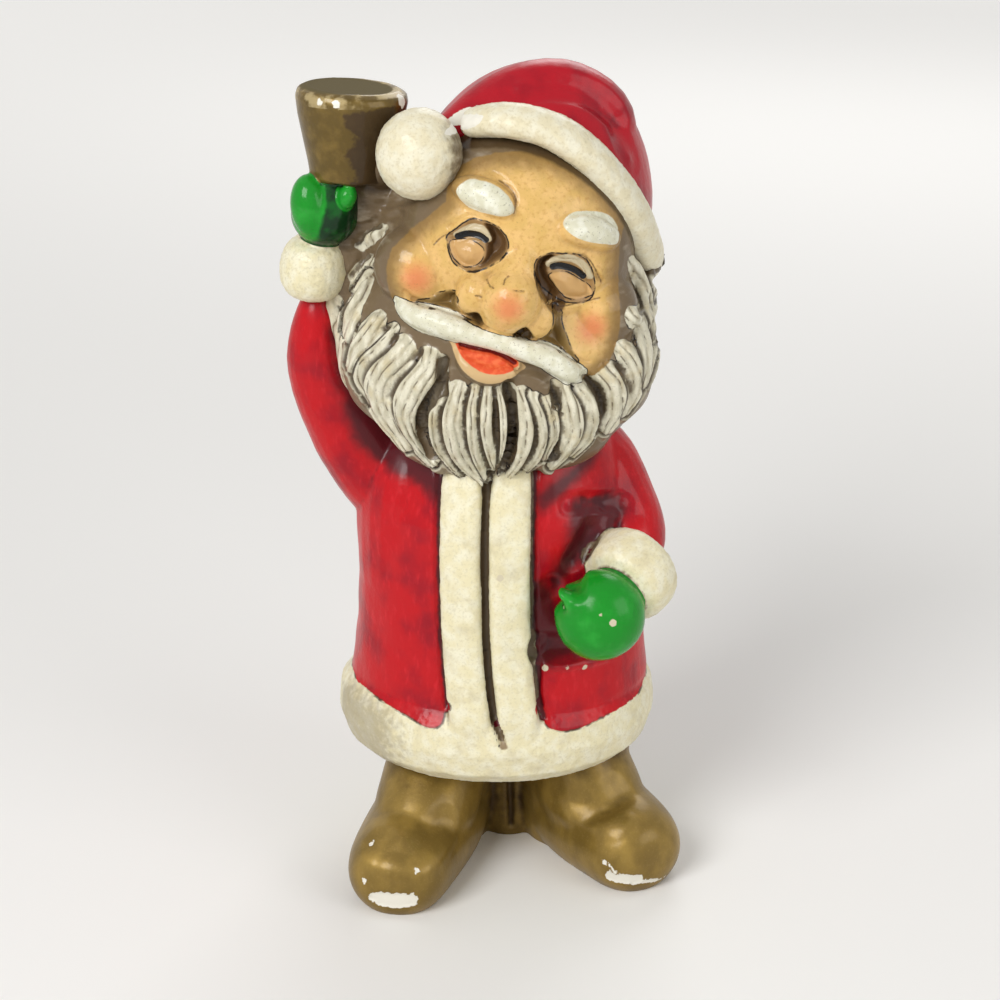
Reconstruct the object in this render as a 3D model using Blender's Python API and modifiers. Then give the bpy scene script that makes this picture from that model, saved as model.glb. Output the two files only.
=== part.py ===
"""Santa figurine: one solid plaster casting, about 185 mm tall, standing on its flat soles.

Frame: +X is the viewer's right, -Y the front, +Z up, with the origin on the floor under the middle.
Lengths are in millimetres here and become metres when the mesh is made. Each part of the figure is
drawn on its own grid of squares, and a grid's squares take their size from the driving dimensions.
"""
import math

import bmesh
import bpy
import numpy as np
from mathutils import Euler, Matrix, Vector
from mathutils.bvhtree import BVHTree

MM = 0.001

# Boots
BOOT_HEIGHT = 28.0        # floor to the underside of the hem
STANCE_WIDTH = 75.0       # outside of one toe to the outside of the other
BOOT_LENGTH = 55.0        # heel to toe
TOE_WIDTH = 23.5

# Coat
COAT_WIDTH = 65.0
COAT_DEPTH = 52.0
COAT_HEIGHT = 90.0        # underside of the hem to the collar
HEM_WIDTH = 73.4
HEM_DEPTH = 61.0
HEM_HEIGHT = 18.0
BAND_WIDTH = 9.0          # each fur band down the front
BAND_GAP = 1.4            # groove between the two bands

# Head
HEAD_RISE = 115.0         # underside of the hem to the middle of the head
HEAD_WIDTH = 67.0
HEAD_DEPTH = 56.0
HEAD_HEIGHT = 66.0
FACE_TILT = 20.0          # degrees that the head leans to the viewer's right
NOSE_WIDTH = 12.0
BROW_LENGTH = 12.6
MOUSTACHE_WIDTH = 4.6
LOCK_RELIEF = 3.4         # how far a beard lock stands out

# Hat
HAT_WIDTH = 53.0
HAT_HEIGHT = 68.0
TRIM_WIDTH = 8.2
POM_WIDTH = 17.6

# Raised arm with the bell
SLEEVE_WIDTH = 17.4
CUFF_WIDTH = 14.6
MITTEN_WIDTH = 13.6
BELL_WIDTH = 24.0         # across its mouth
BELL_HEIGHT = 18.0

# Lowered arm
LOW_SLEEVE_WIDTH = 21.0
LOW_CUFF_WIDTH = 20.6
LOW_MITTEN_WIDTH = 19.2

# Modelling
GRAIN = 0.8               # size of the clay's grain where forms are blended
MOST_TRIANGLES = 11600
FRONT = -200.0            # a place well in front of the figure


def grid(origin, size, drawn):
    """A drawing grid: where its zero stands, the part's real size and the squares it was drawn over."""
    squares = [real / count for real, count in zip(size, drawn)]
    return Matrix.LocRotScale(Vector(origin), None, Vector(squares))


BOOTS = grid((0, 0, 0), (STANCE_WIDTH, BOOT_LENGTH, BOOT_HEIGHT), drawn=(75, 55, 28))
COAT = grid((0, 0, BOOT_HEIGHT), (COAT_WIDTH, COAT_DEPTH, COAT_HEIGHT), drawn=(65, 52, 90))
HEM = grid((-0.8, 0, BOOT_HEIGHT), (HEM_WIDTH, HEM_DEPTH, HEM_HEIGHT), drawn=(74.4, 61, 18))
HEAD = grid((0, 0, BOOT_HEIGHT + HEAD_RISE), (HEAD_WIDTH, HEAD_DEPTH, HEAD_HEIGHT), drawn=(67, 56, 66))
HAT = HEAD @ grid((0, 0, 0), (HAT_WIDTH, 1, HAT_HEIGHT), drawn=(53, 1, 68))
FACE_MIDDLE = (3.8, 5.7)


def along(points, t):
    """A place on a smooth curve through the points, with t from 0 to 1."""
    last = len(points) - 1
    t = min(max(t, 0.0), 1.0) * last
    start = min(int(t), last - 1)
    f = t - start
    a, b, c, d = (Vector(points[min(max(k, 0), last)]) for k in range(start - 1, start + 3))
    if start == 0:
        a = 2 * b - c
    if start == last - 1:
        d = 2 * c - b
    bend = (2 * a - 5 * b + 4 * c - d) * f * f + (3 * b - a - 3 * c + d) * f ** 3
    return 0.5 * (2 * b + (c - a) * f + bend)


def spread(values, count):
    """Numbers spread smoothly over count places."""
    line = [Vector((value, 0)) for value in values]
    return [along(line, step / (count - 1)).x for step in range(count)]


def egg(clay, place, centre, radii, turn=0.0, detail=(32, 20)):
    """A rounded lump, turned about Y by degrees."""
    lump = Matrix.LocRotScale(Vector(centre), Euler((0, math.radians(turn), 0)), Vector(radii))
    bmesh.ops.create_uvsphere(clay, u_segments=detail[0], v_segments=detail[1], radius=1, matrix=place @ lump)


def roll(clay, place, path, radii, flat=1.0, facing=((0, -1, 0), (0, -1, 0)), blunt=2.0, boxy=1.0,
         detail=(18, 26)):
    """A roll of clay along a path, as wide as its radii and flattened towards where it faces.

    A higher blunt gives fuller ends, and a boxy below 1 gives squarer sides.
    """
    made = bmesh.ops.create_uvsphere(clay, u_segments=detail[0], v_segments=detail[1], radius=1)["verts"]
    width = [Vector((radius, 0)) for radius in radii]
    for vert in made:
        t = 0.5 + 0.5 * vert.co.z
        ahead = (along(path, t + 0.03) - along(path, t - 0.03)).normalized()
        side = along(facing, t).cross(ahead).normalized()
        out = ahead.cross(side)
        ring = max(math.hypot(vert.co.x, vert.co.y), 1e-6)
        across = math.copysign(abs(vert.co.x / ring) ** boxy, vert.co.x)
        up = math.copysign(abs(vert.co.y / ring) ** boxy, vert.co.y)
        radius = along(width, t).x * max(0.0, 1 - abs(vert.co.z) ** blunt) ** (1 / blunt)
        around = across * side + up * flat * out
        vert.co = place @ (along(path, t) + radius * around)


def turned(clay, place, profile, depth=1.0, steps=56):
    """A shape turned about Z from a profile of radius and height, and squeezed front to back."""
    before = set(clay.verts)
    verts = [clay.verts.new((radius, 0, height)) for radius, height in profile]
    edges = [clay.edges.new(pair) for pair in zip(verts, verts[1:])]
    bmesh.ops.spin(clay, geom=verts + edges, cent=(0, 0, 0), axis=(0, 0, 1), angle=2 * math.pi, steps=steps,
                   use_merge=True)
    for vert in clay.verts:
        if vert not in before:
            vert.co = place @ Vector((vert.co.x, vert.co.y * depth, vert.co.z))


def surface(*lumps):
    """The outer side of some lumps, to lay other clay on."""
    verts = []
    faces = []
    for clay in lumps:
        clay.verts.index_update()
        faces += [[len(verts) + vert.index for vert in face.verts] for face in clay.faces]
        verts += [vert.co.copy() for vert in clay.verts]
    return BVHTree.FromPolygons(verts, faces)


def lay(ground, place, points, lift=0.0, count=14):
    """Points drawn from the front, laid on the clay behind them: the places and the clay's facing."""
    line = [Vector(point) for point in points]
    places = []
    facing = []
    for step in range(count):
        x, z = along(line, step / (count - 1))
        start = place @ Vector((x, 0, z))
        start.y = FRONT
        hit, normal, _, _ = ground.ray_cast(start, Vector((0, 1, 0)))
        if hit is None:
            hit, normal, _, _ = ground.find_nearest(place @ Vector((x, -12, z)))
        places.append(hit + lift * normal)
        facing.append(normal)
    return places, facing


def ribbon(clay, ground, place, points, radii, relief, lift=0.0, blunt=2.0, boxy=1.0, detail=(14, 22)):
    """A strand of clay laid on the clay behind it, standing out by its relief."""
    places, facing = lay(ground, place, points, lift)
    scale = place.to_scale().x
    widths = [radius * scale for radius in spread(radii, len(places))]
    flat = relief / max(widths)
    roll(clay, Matrix.Identity(4), places, widths, flat, facing, blunt, boxy, detail)


def face(u, v):
    """A point of the face, drawn on its own upright grid, on the tilted head."""
    lean = math.radians(FACE_TILT)
    x = FACE_MIDDLE[0] + u * math.cos(lean) + v * math.sin(lean)
    z = FACE_MIDDLE[1] - u * math.sin(lean) + v * math.cos(lean)
    return x, z


def boots(clay):
    """Two boots set apart at the toes and joined at the heels."""
    wide = TOE_WIDTH / 23.5
    left = [(-12.5, 15, 6), (-17, -8, 8), (-22.2, -26, 7.8), (-24.4, -37.6, 7)]
    right = [(15, 15, 6), (21, -3, 8), (29, -16.5, 8), (34.8, -27, 7.2)]
    for leg_x, foot in ((-13.5, left), (16.5, right)):
        shaft = [(leg_x, 1, 44), (leg_x, 1, 28), (leg_x, 0, 14), (leg_x, 0, -4)]
        roll(clay, BOOTS, shaft, [15.0, 14.8, 13.8, 13.6], flat=1.12, blunt=6)
        upright = ((0, 0, 1), (0, 0, 1))
        roll(clay, BOOTS, foot, [13.0, 13.4, 12.4 * wide, 11.6 * wide], 0.94, upright, blunt=3.4)
        toe_x, toe_y, _ = foot[2]
        instep = [(leg_x, -2, 33), (leg_x * 0.7 + toe_x * 0.3, toe_y * 0.4, 18), (toe_x, toe_y, 8)]
        roll(clay, BOOTS, instep, [11.5, 12, 11.5], blunt=2.6)
    roll(clay, BOOTS, [(2, 7, 40), (2, 7, 20), (2, 7, -4)], [8, 8, 8], blunt=5)


def coat(clay):
    """The coat's body, its rolled fur hem and the two fur bands down its front."""
    body = [(0, 90), (14, 88), (22, 81), (27, 71), (30.5, 60), (32, 44), (32.8, 30), (34.2, 18), (33, 8),
            (24, 3), (0, 2)]
    turned(clay, COAT, body, depth=0.8)
    ground = surface(clay)
    hem = [(0, 17), (30, 18.3), (34, 17.8), (36.6, 14.5), (37.2, 9), (35.6, 3.4), (32, 0.3), (26, -0.3), (0, 0)]
    turned(clay, HEM, hem, depth=0.82)
    for side in (-1, 1):
        edge = side * (BAND_WIDTH + BAND_GAP) / 2
        points = [(-2.6 + edge, 76), (-3.2 + edge, 56), (-2.8 + edge, 34), (-1.6 + edge, 20), (-0.4 + edge, 9)]
        ribbon(clay, ground, COAT, points, [BAND_WIDTH / 2] * 5, relief=3.0, blunt=8, boxy=0.5)


def raised_arm(clay):
    """The raised sleeve, its fur cuff, the mitten and the bell that it holds up."""
    hand = HEAD @ Vector((-36.5, -8.5, 12))
    cuff = HEAD @ Vector((-39.2, -7.5, 0))
    elbow = COAT @ Vector((-33.8, -2, 79.5))
    sleeve = [COAT @ Vector((-6, 3, 44)), COAT @ Vector((-20, 1, 60)), COAT @ Vector((-28, -0.5, 69)), elbow,
              elbow + Vector((-4.9, -2, 14)), cuff + Vector((0.2, 1.5, -5))]
    wide = SLEEVE_WIDTH / 2
    widths = [wide * share for share in (1.3, 1.4, 1.22, 1.1, 1.0, 0.78)]
    roll(clay, Matrix.Identity(4), sleeve, widths, blunt=2.6)
    egg(clay, COAT, (-21.5, 0, 62), (10.5, 19, 15))
    fur = [cuff + Vector((-0.3, 1, -7)), cuff + Vector((-0.1, 0, -0.8)), cuff + Vector((1, -1.4, 6))]
    roll(clay, Matrix.Identity(4), fur, [CUFF_WIDTH * 0.44, CUFF_WIDTH * 0.51, CUFF_WIDTH * 0.44], blunt=3.6)
    palm = MITTEN_WIDTH / 2
    grip = [hand + Vector((-2, 0.2, -7)), hand, hand + Vector((3, 0.3, 9))]
    roll(clay, Matrix.Identity(4), grip, [palm * 0.9, palm * 1.05, palm * 0.85], blunt=2.6)
    egg(clay, Matrix.Identity(4), hand + Vector((-3, -3.5, 0.5)), (palm * 0.62, palm * 0.6, palm * 1.1), -6)
    egg(clay, Matrix.Identity(4), hand + Vector((4, -4.6, 4.4)), (palm * 0.36, palm * 0.4, palm * 0.52), 20)
    bell = grid(hand + Vector((5, 0.5, 8)), (BELL_WIDTH, BELL_WIDTH, BELL_HEIGHT), drawn=(24, 24, 18))
    profile = [(0, 18.4), (9.6, 18), (11.6, 17), (12, 15.6), (11.3, 12), (9.2, 6.6), (7.4, 2), (6.6, -1), (0, -1.5)]
    turned(clay, bell, profile, depth=0.95)


def lowered_arm(clay):
    """The other sleeve, bent forward, with its large fur cuff and the mitten on the coat's front."""
    wide = LOW_SLEEVE_WIDTH / 2
    elbow = COAT @ Vector((27.6, -5, 54))
    sleeve = [COAT @ Vector((11, 2, 73)), COAT @ Vector((20, 1, 66)), elbow, elbow + Vector((2.5, -9, -4.5))]
    roll(clay, Matrix.Identity(4), sleeve, [wide * 1.15, wide * 1.08, wide * 0.9, wide * 0.82], blunt=3)
    cuff = elbow + Vector((0.8, -15, -5))
    reach = Vector((-3.8, -4.6, -2.4))
    fur = LOW_CUFF_WIDTH / 2
    roll(clay, Matrix.Identity(4), [cuff - reach, cuff, cuff + reach], [fur * 0.96, fur * 1.02, fur * 0.94], blunt=4)
    hand = cuff + Vector((-7.0, -10.5, -5))
    palm = LOW_MITTEN_WIDTH / 2
    egg(clay, Matrix.Identity(4), hand, (palm * 1.02, palm * 0.9, palm * 1.05))
    egg(clay, Matrix.Identity(4), hand + Vector((-5.6, -2.6, 4.9)), (palm * 0.42, palm * 0.45, palm * 0.36), 18)


def head_masses(clay):
    """The skull, the beard as one mass, the face with its cheeks, and the plaster web by the bell."""
    egg(clay, HEAD, (0.5, 3, -1), (33, 28, 32.5))
    egg(clay, HEAD, (-0.5, -8.5, -18), (33, 25, 27.5), 6)
    for x, low_x in ((-1, -2), (-14, -8), (14, 8)):
        drop = abs(low_x + 2) * 0.3
        roll(clay, HEAD, [(x, -10, -21), ((x + low_x) / 2, -17, -33), (low_x, -22.5, -43.5 + drop)],
             [17, 12.5, 6.5], flat=0.75)
    egg(clay, HEAD, (3.2, -9.5, 6.5), (25.5, 22.5, 25), FACE_TILT)
    egg(clay, HEAD, (-16.5, -18.5, 2.6), (9.6, 8.6, 9), FACE_TILT)
    egg(clay, HEAD, (19.5, -18.5, -6.4), (9.2, 8.6, 9.4), FACE_TILT)
    egg(clay, HEAD, (-27, -4, 14), (9.5, 7, 12))
    egg(clay, HEAD, (-25, -9, 25), (6.5, 5.5, 8))
    egg(clay, HEAD, (-32, -5, -2), (7, 6, 13))


def features(clay, ground):
    """Nose, brows, lids, pouches under the eyes, moustache and lips, laid on the face."""
    half = NOSE_WIDTH / 2
    for u, v, y, size in ((0.4, -6, -32.4, 1.06), (-6.2, -7.6, -30.4, 0.7), (6.6, -8, -30, 0.72)):
        x, z = face(u, v)
        egg(clay, HEAD, (x, y, z), (half * size, half * size * 1.1, half * size * 1.05), FACE_TILT)
    bridge = []
    for v, y in ((8, -26.5), (3, -28.8), (-2, -30.6), (-8, -32)):
        x, z = face(0, v)
        bridge.append((x, y, z))
    roll(clay, HEAD, bridge, [half * 0.5, half * 0.6, half * 0.85, half * 0.95], blunt=3)
    brow = BROW_LENGTH / 2
    for side in (-1, 1):
        line = [face(side * (11.2 + step * brow), 11 - 0.8 * abs(step)) for step in (-1, 0, 1)]
        ribbon(clay, ground, HEAD, line, [3.0, 3.3, 3.0], relief=3.0, lift=0.3, blunt=2.6)
        pouch = [face(side * 7, -0.6), face(side * 11.2, -0.7), face(side * 15.6, -2.2)]
        ribbon(clay, ground, HEAD, pouch, [2.0, 2.4, 1.8], relief=1.5, lift=-0.4)
    line = [face(u, v) for u, v in ((-20, -16.2), (-12, -17.6), (-3, -16.6), (5, -16), (13, -16), (20.5, -16.8))]
    half = MOUSTACHE_WIDTH / 2
    ribbon(clay, ground, HEAD, line, [half * 0.8, half * 1.1, half, half, half * 1.1, half * 0.8], relief=3.0, lift=0.4)
    lip = [face(u, v) for u, v in ((-6, -19.5), (-3.6, -22.3), (0.6, -23.3), (5, -21.4), (7, -19))]
    ribbon(clay, ground, HEAD, lip, [1.4, 2.2, 2.4, 2.2, 1.4], relief=2.0)


# Beard and hair locks, each from its root to its tip on the head's grid, with its half width
LOCKS = (
    ([(-27, -1.5), (-29, -5), (-31.5, -9), (-33, -13)], 2.0),
    ([(-24, -6), (-26.5, -9.5), (-29.5, -13.5), (-32, -19)], 2.3),
    ([(-21, -7.5), (-24.5, -11.5), (-28.5, -16), (-30, -21), (-28, -26)], 1.6),
    ([(-18, -10), (-21, -13.5), (-24.5, -17.5), (-26, -22.5), (-24.5, -28.5), (-20.5, -35.5)], 3.4),
    ([(-14, -11), (-15, -15), (-18, -19.5), (-20, -25), (-19.2, -31), (-14.5, -38.5)], 3.2),
    ([(-12, -20), (-13.7, -25), (-13.5, -31), (-11.5, -37), (-8, -42)], 1.4),
    ([(-8, -17.5), (-9.5, -22), (-10, -27.5), (-9.3, -33), (-7, -39), (-3.5, -44.5)], 2.5),
    ([(-5, -18), (-6, -24), (-5.6, -32), (-4.2, -39), (-2.2, -44.5)], 1.7),
    ([(-2.4, -18), (-3, -22.5), (-3, -28.5), (-2, -34.5), (-1, -40)], 1.8),
    ([(-0.3, -18.5), (0.6, -24), (0.6, -31), (-0.4, -38.5)], 1.3),
    ([(3.6, -18.5), (5, -22.5), (5.4, -29), (4, -36), (1.6, -42.5)], 2.1),
    ([(6.7, -20), (8.4, -24.5), (9.2, -29), (8.3, -34.5), (5.6, -40.5)], 1.7),
    ([(9.4, -21), (11, -25.5), (11.2, -31), (9.6, -37)], 1.5),
    ([(13, -18), (15, -23), (15.8, -28.5), (14.6, -33.5), (11, -39.5)], 2.5),
    ([(16, -19), (18.5, -23), (19.4, -27.5), (18.4, -32.5), (15.5, -37)], 1.7),
    ([(20.5, -16), (23.7, -20.5), (24.6, -26), (22.6, -31.5)], 3.0),
    ([(24, -12), (27.4, -17), (28.8, -22.5), (26.6, -28.5)], 2.4),
    ([(26, -5), (30, -10), (32, -16), (31, -23)], 2.2),
    ([(26.5, 4), (30, -3), (32.5, -9), (33, -15)], 2.0),
    ([(28.5, 11), (31.5, 5), (33.5, -2), (33.8, -8)], 1.8),
    ([(-24, 13.5), (-27, 13), (-30, 10.5)], 1.5),
)


def beard(clay, ground):
    """The carved locks of the beard and the hair beside the face."""
    for points, half in LOCKS:
        ribbon(clay, ground, HEAD, points, [half * 0.75, half, half, half * 0.6], LOCK_RELIEF, lift=-0.9)
    top = -6.0
    bottom = -33.0
    strands = 13
    first_turn = 62
    last_turn = 298
    for strand in range(strands):
        turn = math.radians(first_turn + (last_turn - first_turn) * strand / (strands - 1))
        away = Vector((math.sin(turn), -math.cos(turn), 0))
        places = []
        facing = []
        for step in range(6):
            height = top + (bottom - top) * step / 5
            wave = 0.05 * math.sin(1.9 * step + strand)
            heading = Matrix.Rotation(wave, 3, "Z") @ away
            start = HEAD @ (heading * 60 + Vector((0, 0, height)))
            hit, normal, _, _ = ground.ray_cast(start, -heading)
            places.append(hit)
            facing.append(normal)
        widths = [size * HEAD_WIDTH / 67 for size in (2.4, 3.6, 3.8, 3.6, 3.2, 1.6)]
        roll(clay, Matrix.Identity(4), places, widths, LOCK_RELIEF / 6, facing)


def hat(clay):
    """The soft hat with its tip folded over to the side, the fur trim around it and the pom."""
    egg(clay, HAT, (5.5, 5, 7), (26.8, 27.5, 34), 14)
    tail = [(24, 4, 18), (21, 2, 28), (12, 0, 32.8), (2, -3, 32.6), (-7, -8, 30), (-13, -14, 28)]
    roll(clay, HAT, tail, [7, 9, 9.4, 8, 6, 5], blunt=2.6)
    ring = [(-7, -15, 31), (2, -18.6, 32.3), (11, -19.6, 30), (18, -18.6, 25), (23.5, -16.5, 18.5), (28, -13, 11),
            (30.6, -7, 3.5), (31.5, 2, -3), (27.5, 14, -8), (16, 24.5, -11), (0, 28.6, -10), (-15, 25.2, -6),
            (-27, 16, 0), (-31, 3, 8), (-26, -6, 19), (-15, -13, 28)]
    ahead = [Vector((x * 0.5, y * 0.5, z - 6)).normalized() for x, y, z in ring]
    half = TRIM_WIDTH / 2
    roll(clay, HEAD, ring, [half] * len(ring), 0.82, ahead, blunt=8, detail=(16, 110))
    egg(clay, HEAD, (-16.3, -20, 26.5), (POM_WIDTH / 2, POM_WIDTH / 2, POM_WIDTH / 2 * 1.05))


# Grooves pressed into the blended clay: the grid, the line, its half width and its depth
def grooves():
    """Lines pressed into the clay from the front."""
    yield COAT, [(0.3, 74), (-3.2, 56), (-2.8, 34), (-1.6, 20), (0.4, 12.5)], BAND_GAP, 2.0
    yield COAT, [(15.5, 66), (21.5, 65.5), (26, 62)], 3.0, 2.0
    yield COAT, [(18, 62), (17, 55), (13, 47)], 2.4, 1.6
    yield COAT, [(9, 33), (16, 31.5), (24, 31.5)], 4.2, 2.2
    yield HEAD, [(-11.6, -13.5), (-12.2, -19), (-15, -24), (-16.2, -30), (-14.6, -37)], 1.7, 2.2
    yield HEAD, [(1.5, -17.5), (2.3, -22.5), (2.5, -28.5), (1.6, -36), (-1, -41.5), (-3, -46)], 1.7, 2.2
    yield HEAD, [(4, -14.5), (8, -15.5), (11, -18), (11.7, -25), (12.3, -30), (11.4, -37)], 1.6, 1.8
    yield HEAD, [(17, -16.5), (20.2, -21), (21.3, -25.5), (20.4, -31)], 1.5, 1.8
    yield HAT, [(7, 38.2), (13, 38.6), (19, 36.6), (24, 31.5), (27, 24)], 2.4, 1.8
    for side in (-1, 1):
        yield HEAD, [face(side * 3.9, 5), face(side * 3.6, 1.5), face(side * 6, -2.6), face(side * 10, -4)], 2.2, 2.4
        yield HEAD, [face(side * 5, 6), face(side * 10.5, 6.4), face(side * 16.5, 2)], 1.5, 1.0
        yield HEAD, [face(side * 6.4, 2.3), face(side * 10.5, 3.0), face(side * 14.5, 0.8)], 1.6, 1.5
        yield HEAD, [face(side * 10.2, -7), face(side * 12.6, -10), face(side * 18, -14)], 1.9, 1.6
    yield HEAD, [face(-5.6, -18.6), face(0.5, -20.4), face(6.4, -18.4)], 1.3, 1.2


def blend(clay, grain):
    """Blend the overlapping lumps into one closed skin, as plaster cast in one mould."""
    bmesh.ops.remove_doubles(clay, verts=clay.verts, dist=1e-4)
    bmesh.ops.recalc_face_normals(clay, faces=clay.faces)
    skin = bpy.data.meshes.new("blended_clay")
    clay.to_mesh(skin)
    body = bpy.data.objects.new("blended_clay", skin)
    bpy.context.scene.collection.objects.link(body)
    remesh = body.modifiers.new("blend", "REMESH")
    remesh.mode = "VOXEL"
    remesh.voxel_size = grain
    smooth = body.modifiers.new("soften", "SMOOTH")
    smooth.factor = 0.5
    smooth.iterations = 1
    return filled(finished(body))


def filled(skin):
    """The skin as one solid: the pockets left between the lumps inside it are filled."""
    clay = bmesh.new()
    clay.from_mesh(skin)
    waiting = set(clay.faces)
    pockets = []
    while waiting:
        shell = [waiting.pop()]
        for piece in shell:
            for neighbour in {other for edge in piece.edges for other in edge.link_faces}:
                if neighbour in waiting:
                    waiting.remove(neighbour)
                    shell.append(neighbour)
        volume = sum(piece.calc_center_median().dot(piece.normal) * piece.calc_area() for piece in shell)
        if volume < 0:
            pockets += shell
    bmesh.ops.delete(clay, geom=pockets, context="FACES")
    clay.to_mesh(skin)
    clay.free()
    return skin


def finished(body):
    """The body's mesh with its modifiers worked in; the body itself goes."""
    bpy.context.view_layer.update()
    evaluated = body.evaluated_get(bpy.context.evaluated_depsgraph_get())
    skin = bpy.data.meshes.new_from_object(evaluated)
    bpy.data.objects.remove(body)
    return skin


def press(skin, line, half_width, depth):
    """Press a rounded groove into the skin along a line."""
    count = len(skin.vertices)
    places = np.empty(count * 3, dtype=np.float32)
    normals = np.empty(count * 3, dtype=np.float32)
    skin.vertices.foreach_get("co", places)
    skin.vertex_normals.foreach_get("vector", normals)
    places = places.reshape(-1, 3)
    normals = normals.reshape(-1, 3)
    line = np.array(line)
    low = line.min(axis=0) - half_width
    high = line.max(axis=0) + half_width
    near = np.nonzero(((places > low) & (places < high)).all(axis=1))[0]
    reach = np.full(len(near), 1e9)
    for a, b in zip(line, line[1:]):
        way = b - a
        t = np.clip((places[near] - a) @ way / max(way @ way, 1e-9), 0, 1)
        reach = np.minimum(reach, np.linalg.norm(places[near] - a - t[:, None] * way, axis=1))
    push = depth * np.clip(1 - (reach / half_width) ** 2, 0, 1) ** 1.5
    places[near] -= normals[near] * push[:, None]
    skin.vertices.foreach_set("co", places.reshape(-1))
    skin.update()


def thin_out(skin, most):
    """Spend the triangles where the shape needs them, and keep the face and beard the finest."""
    body = bpy.data.objects.new("thinned_clay", skin)
    bpy.context.scene.collection.objects.link(body)
    fine = body.vertex_groups.new(name="carved")
    carving = HEAD @ Vector((0, -8, -45))
    chosen = [vert.index for vert in skin.vertices if vert.co.z > carving.z and vert.co.y < carving.y]
    fine.add(chosen, 0.8, "REPLACE")
    thin = body.modifiers.new("thin", "DECIMATE")
    skin.calc_loop_triangles()
    thin.ratio = most / len(skin.loop_triangles)
    thin.vertex_group = fine.name
    thin.invert_vertex_group = True
    thin.vertex_group_factor = 3.0
    thin.use_collapse_triangulate = True
    return finished(body)


def stand_flat(skin):
    """Cut the soles flat at the floor and close them, with the origin under the middle, in metres."""
    clay = bmesh.new()
    clay.from_mesh(skin)
    everything = clay.verts[:] + clay.edges[:] + clay.faces[:]
    cut = bmesh.ops.bisect_plane(clay, geom=everything, dist=1e-4, plane_co=(0, 0, 0), plane_no=(0, 0, -1),
                                 clear_outer=True)
    rim = [edge for edge in cut["geom_cut"] if isinstance(edge, bmesh.types.BMEdge)]
    for edge in rim:
        for vert in edge.verts:
            vert.co.z = 0.0
    bmesh.ops.holes_fill(clay, edges=rim, sides=0)
    bmesh.ops.triangulate(clay, faces=clay.faces)
    bmesh.ops.recalc_face_normals(clay, faces=clay.faces)
    across = [vert.co.x for vert in clay.verts]
    deep = [vert.co.y for vert in clay.verts]
    middle = Vector((min(across) + max(across), min(deep) + max(deep), 0)) / 2
    bmesh.ops.translate(clay, vec=-middle, verts=clay.verts)
    bmesh.ops.scale(clay, vec=(MM, MM, MM), verts=clay.verts)
    clay.to_mesh(skin)
    clay.free()
    return skin


def painted_plaster():
    """Painted and varnished plaster; red is the colour that covers most of it."""
    material = bpy.data.materials.new("painted_plaster")
    material.use_nodes = True
    shader = material.node_tree.nodes["Principled BSDF"]
    shader.inputs["Base Color"].default_value = (0.55, 0.03, 0.03, 1)
    shader.inputs["Roughness"].default_value = 0.35
    shader.inputs["Metallic"].default_value = 0.0
    return material


def casting():
    """All the forms in one lump, blended, pressed with the grooves, thinned and stood flat."""
    head = bmesh.new()
    head_masses(head)
    ground = surface(head)
    locks = bmesh.new()
    features(locks, ground)
    beard(locks, ground)
    body = bmesh.new()
    boots(body)
    trunk = bmesh.new()
    coat(trunk)
    arms = bmesh.new()
    raised_arm(arms)
    lowered_arm(arms)
    cap = bmesh.new()
    hat(cap)
    whole = bmesh.new()
    for lump in (body, trunk, arms, head, locks, cap):
        part = bpy.data.meshes.new("lump")
        lump.to_mesh(part)
        whole.from_mesh(part)
        bpy.data.meshes.remove(part)
        lump.free()
    skin = blend(whole, GRAIN)
    outside = BVHTree.FromPolygons([vert.co for vert in skin.vertices], [face.vertices for face in skin.polygons])
    for place, points, half_width, depth in list(grooves()):
        press(skin, lay(outside, place, points, count=24)[0], half_width, depth)
    return stand_flat(thin_out(skin, MOST_TRIANGLES))


for thing in list(bpy.data.objects):
    bpy.data.objects.remove(thing)
mesh = casting()
mesh.name = "santa_figurine"
mesh.materials.clear()
mesh.materials.append(painted_plaster())
mesh.shade_smooth()
figurine = bpy.data.objects.new("santa_figurine", mesh)
collection = bpy.data.collections.new("santa_figurine")
bpy.context.scene.collection.children.link(collection)
collection.objects.link(figurine)
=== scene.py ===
"""Santa figurine, finished: a plaster casting with its carving, paint, brown wash, wear and varnish.

The casting is one piece. Here it is dressed as five closed skins that meet at its natural creases,
so that each keeps its carving: boots, coat, head, hat, and the raised hand with the bell.
Lengths are millimetres on the casting's own drawing, which stands a little off the frame's origin.
"""

import math

import bmesh
import bpy
import numpy as np
from mathutils import Euler, Matrix, Vector, noise
from mathutils.bvhtree import BVHTree


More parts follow.
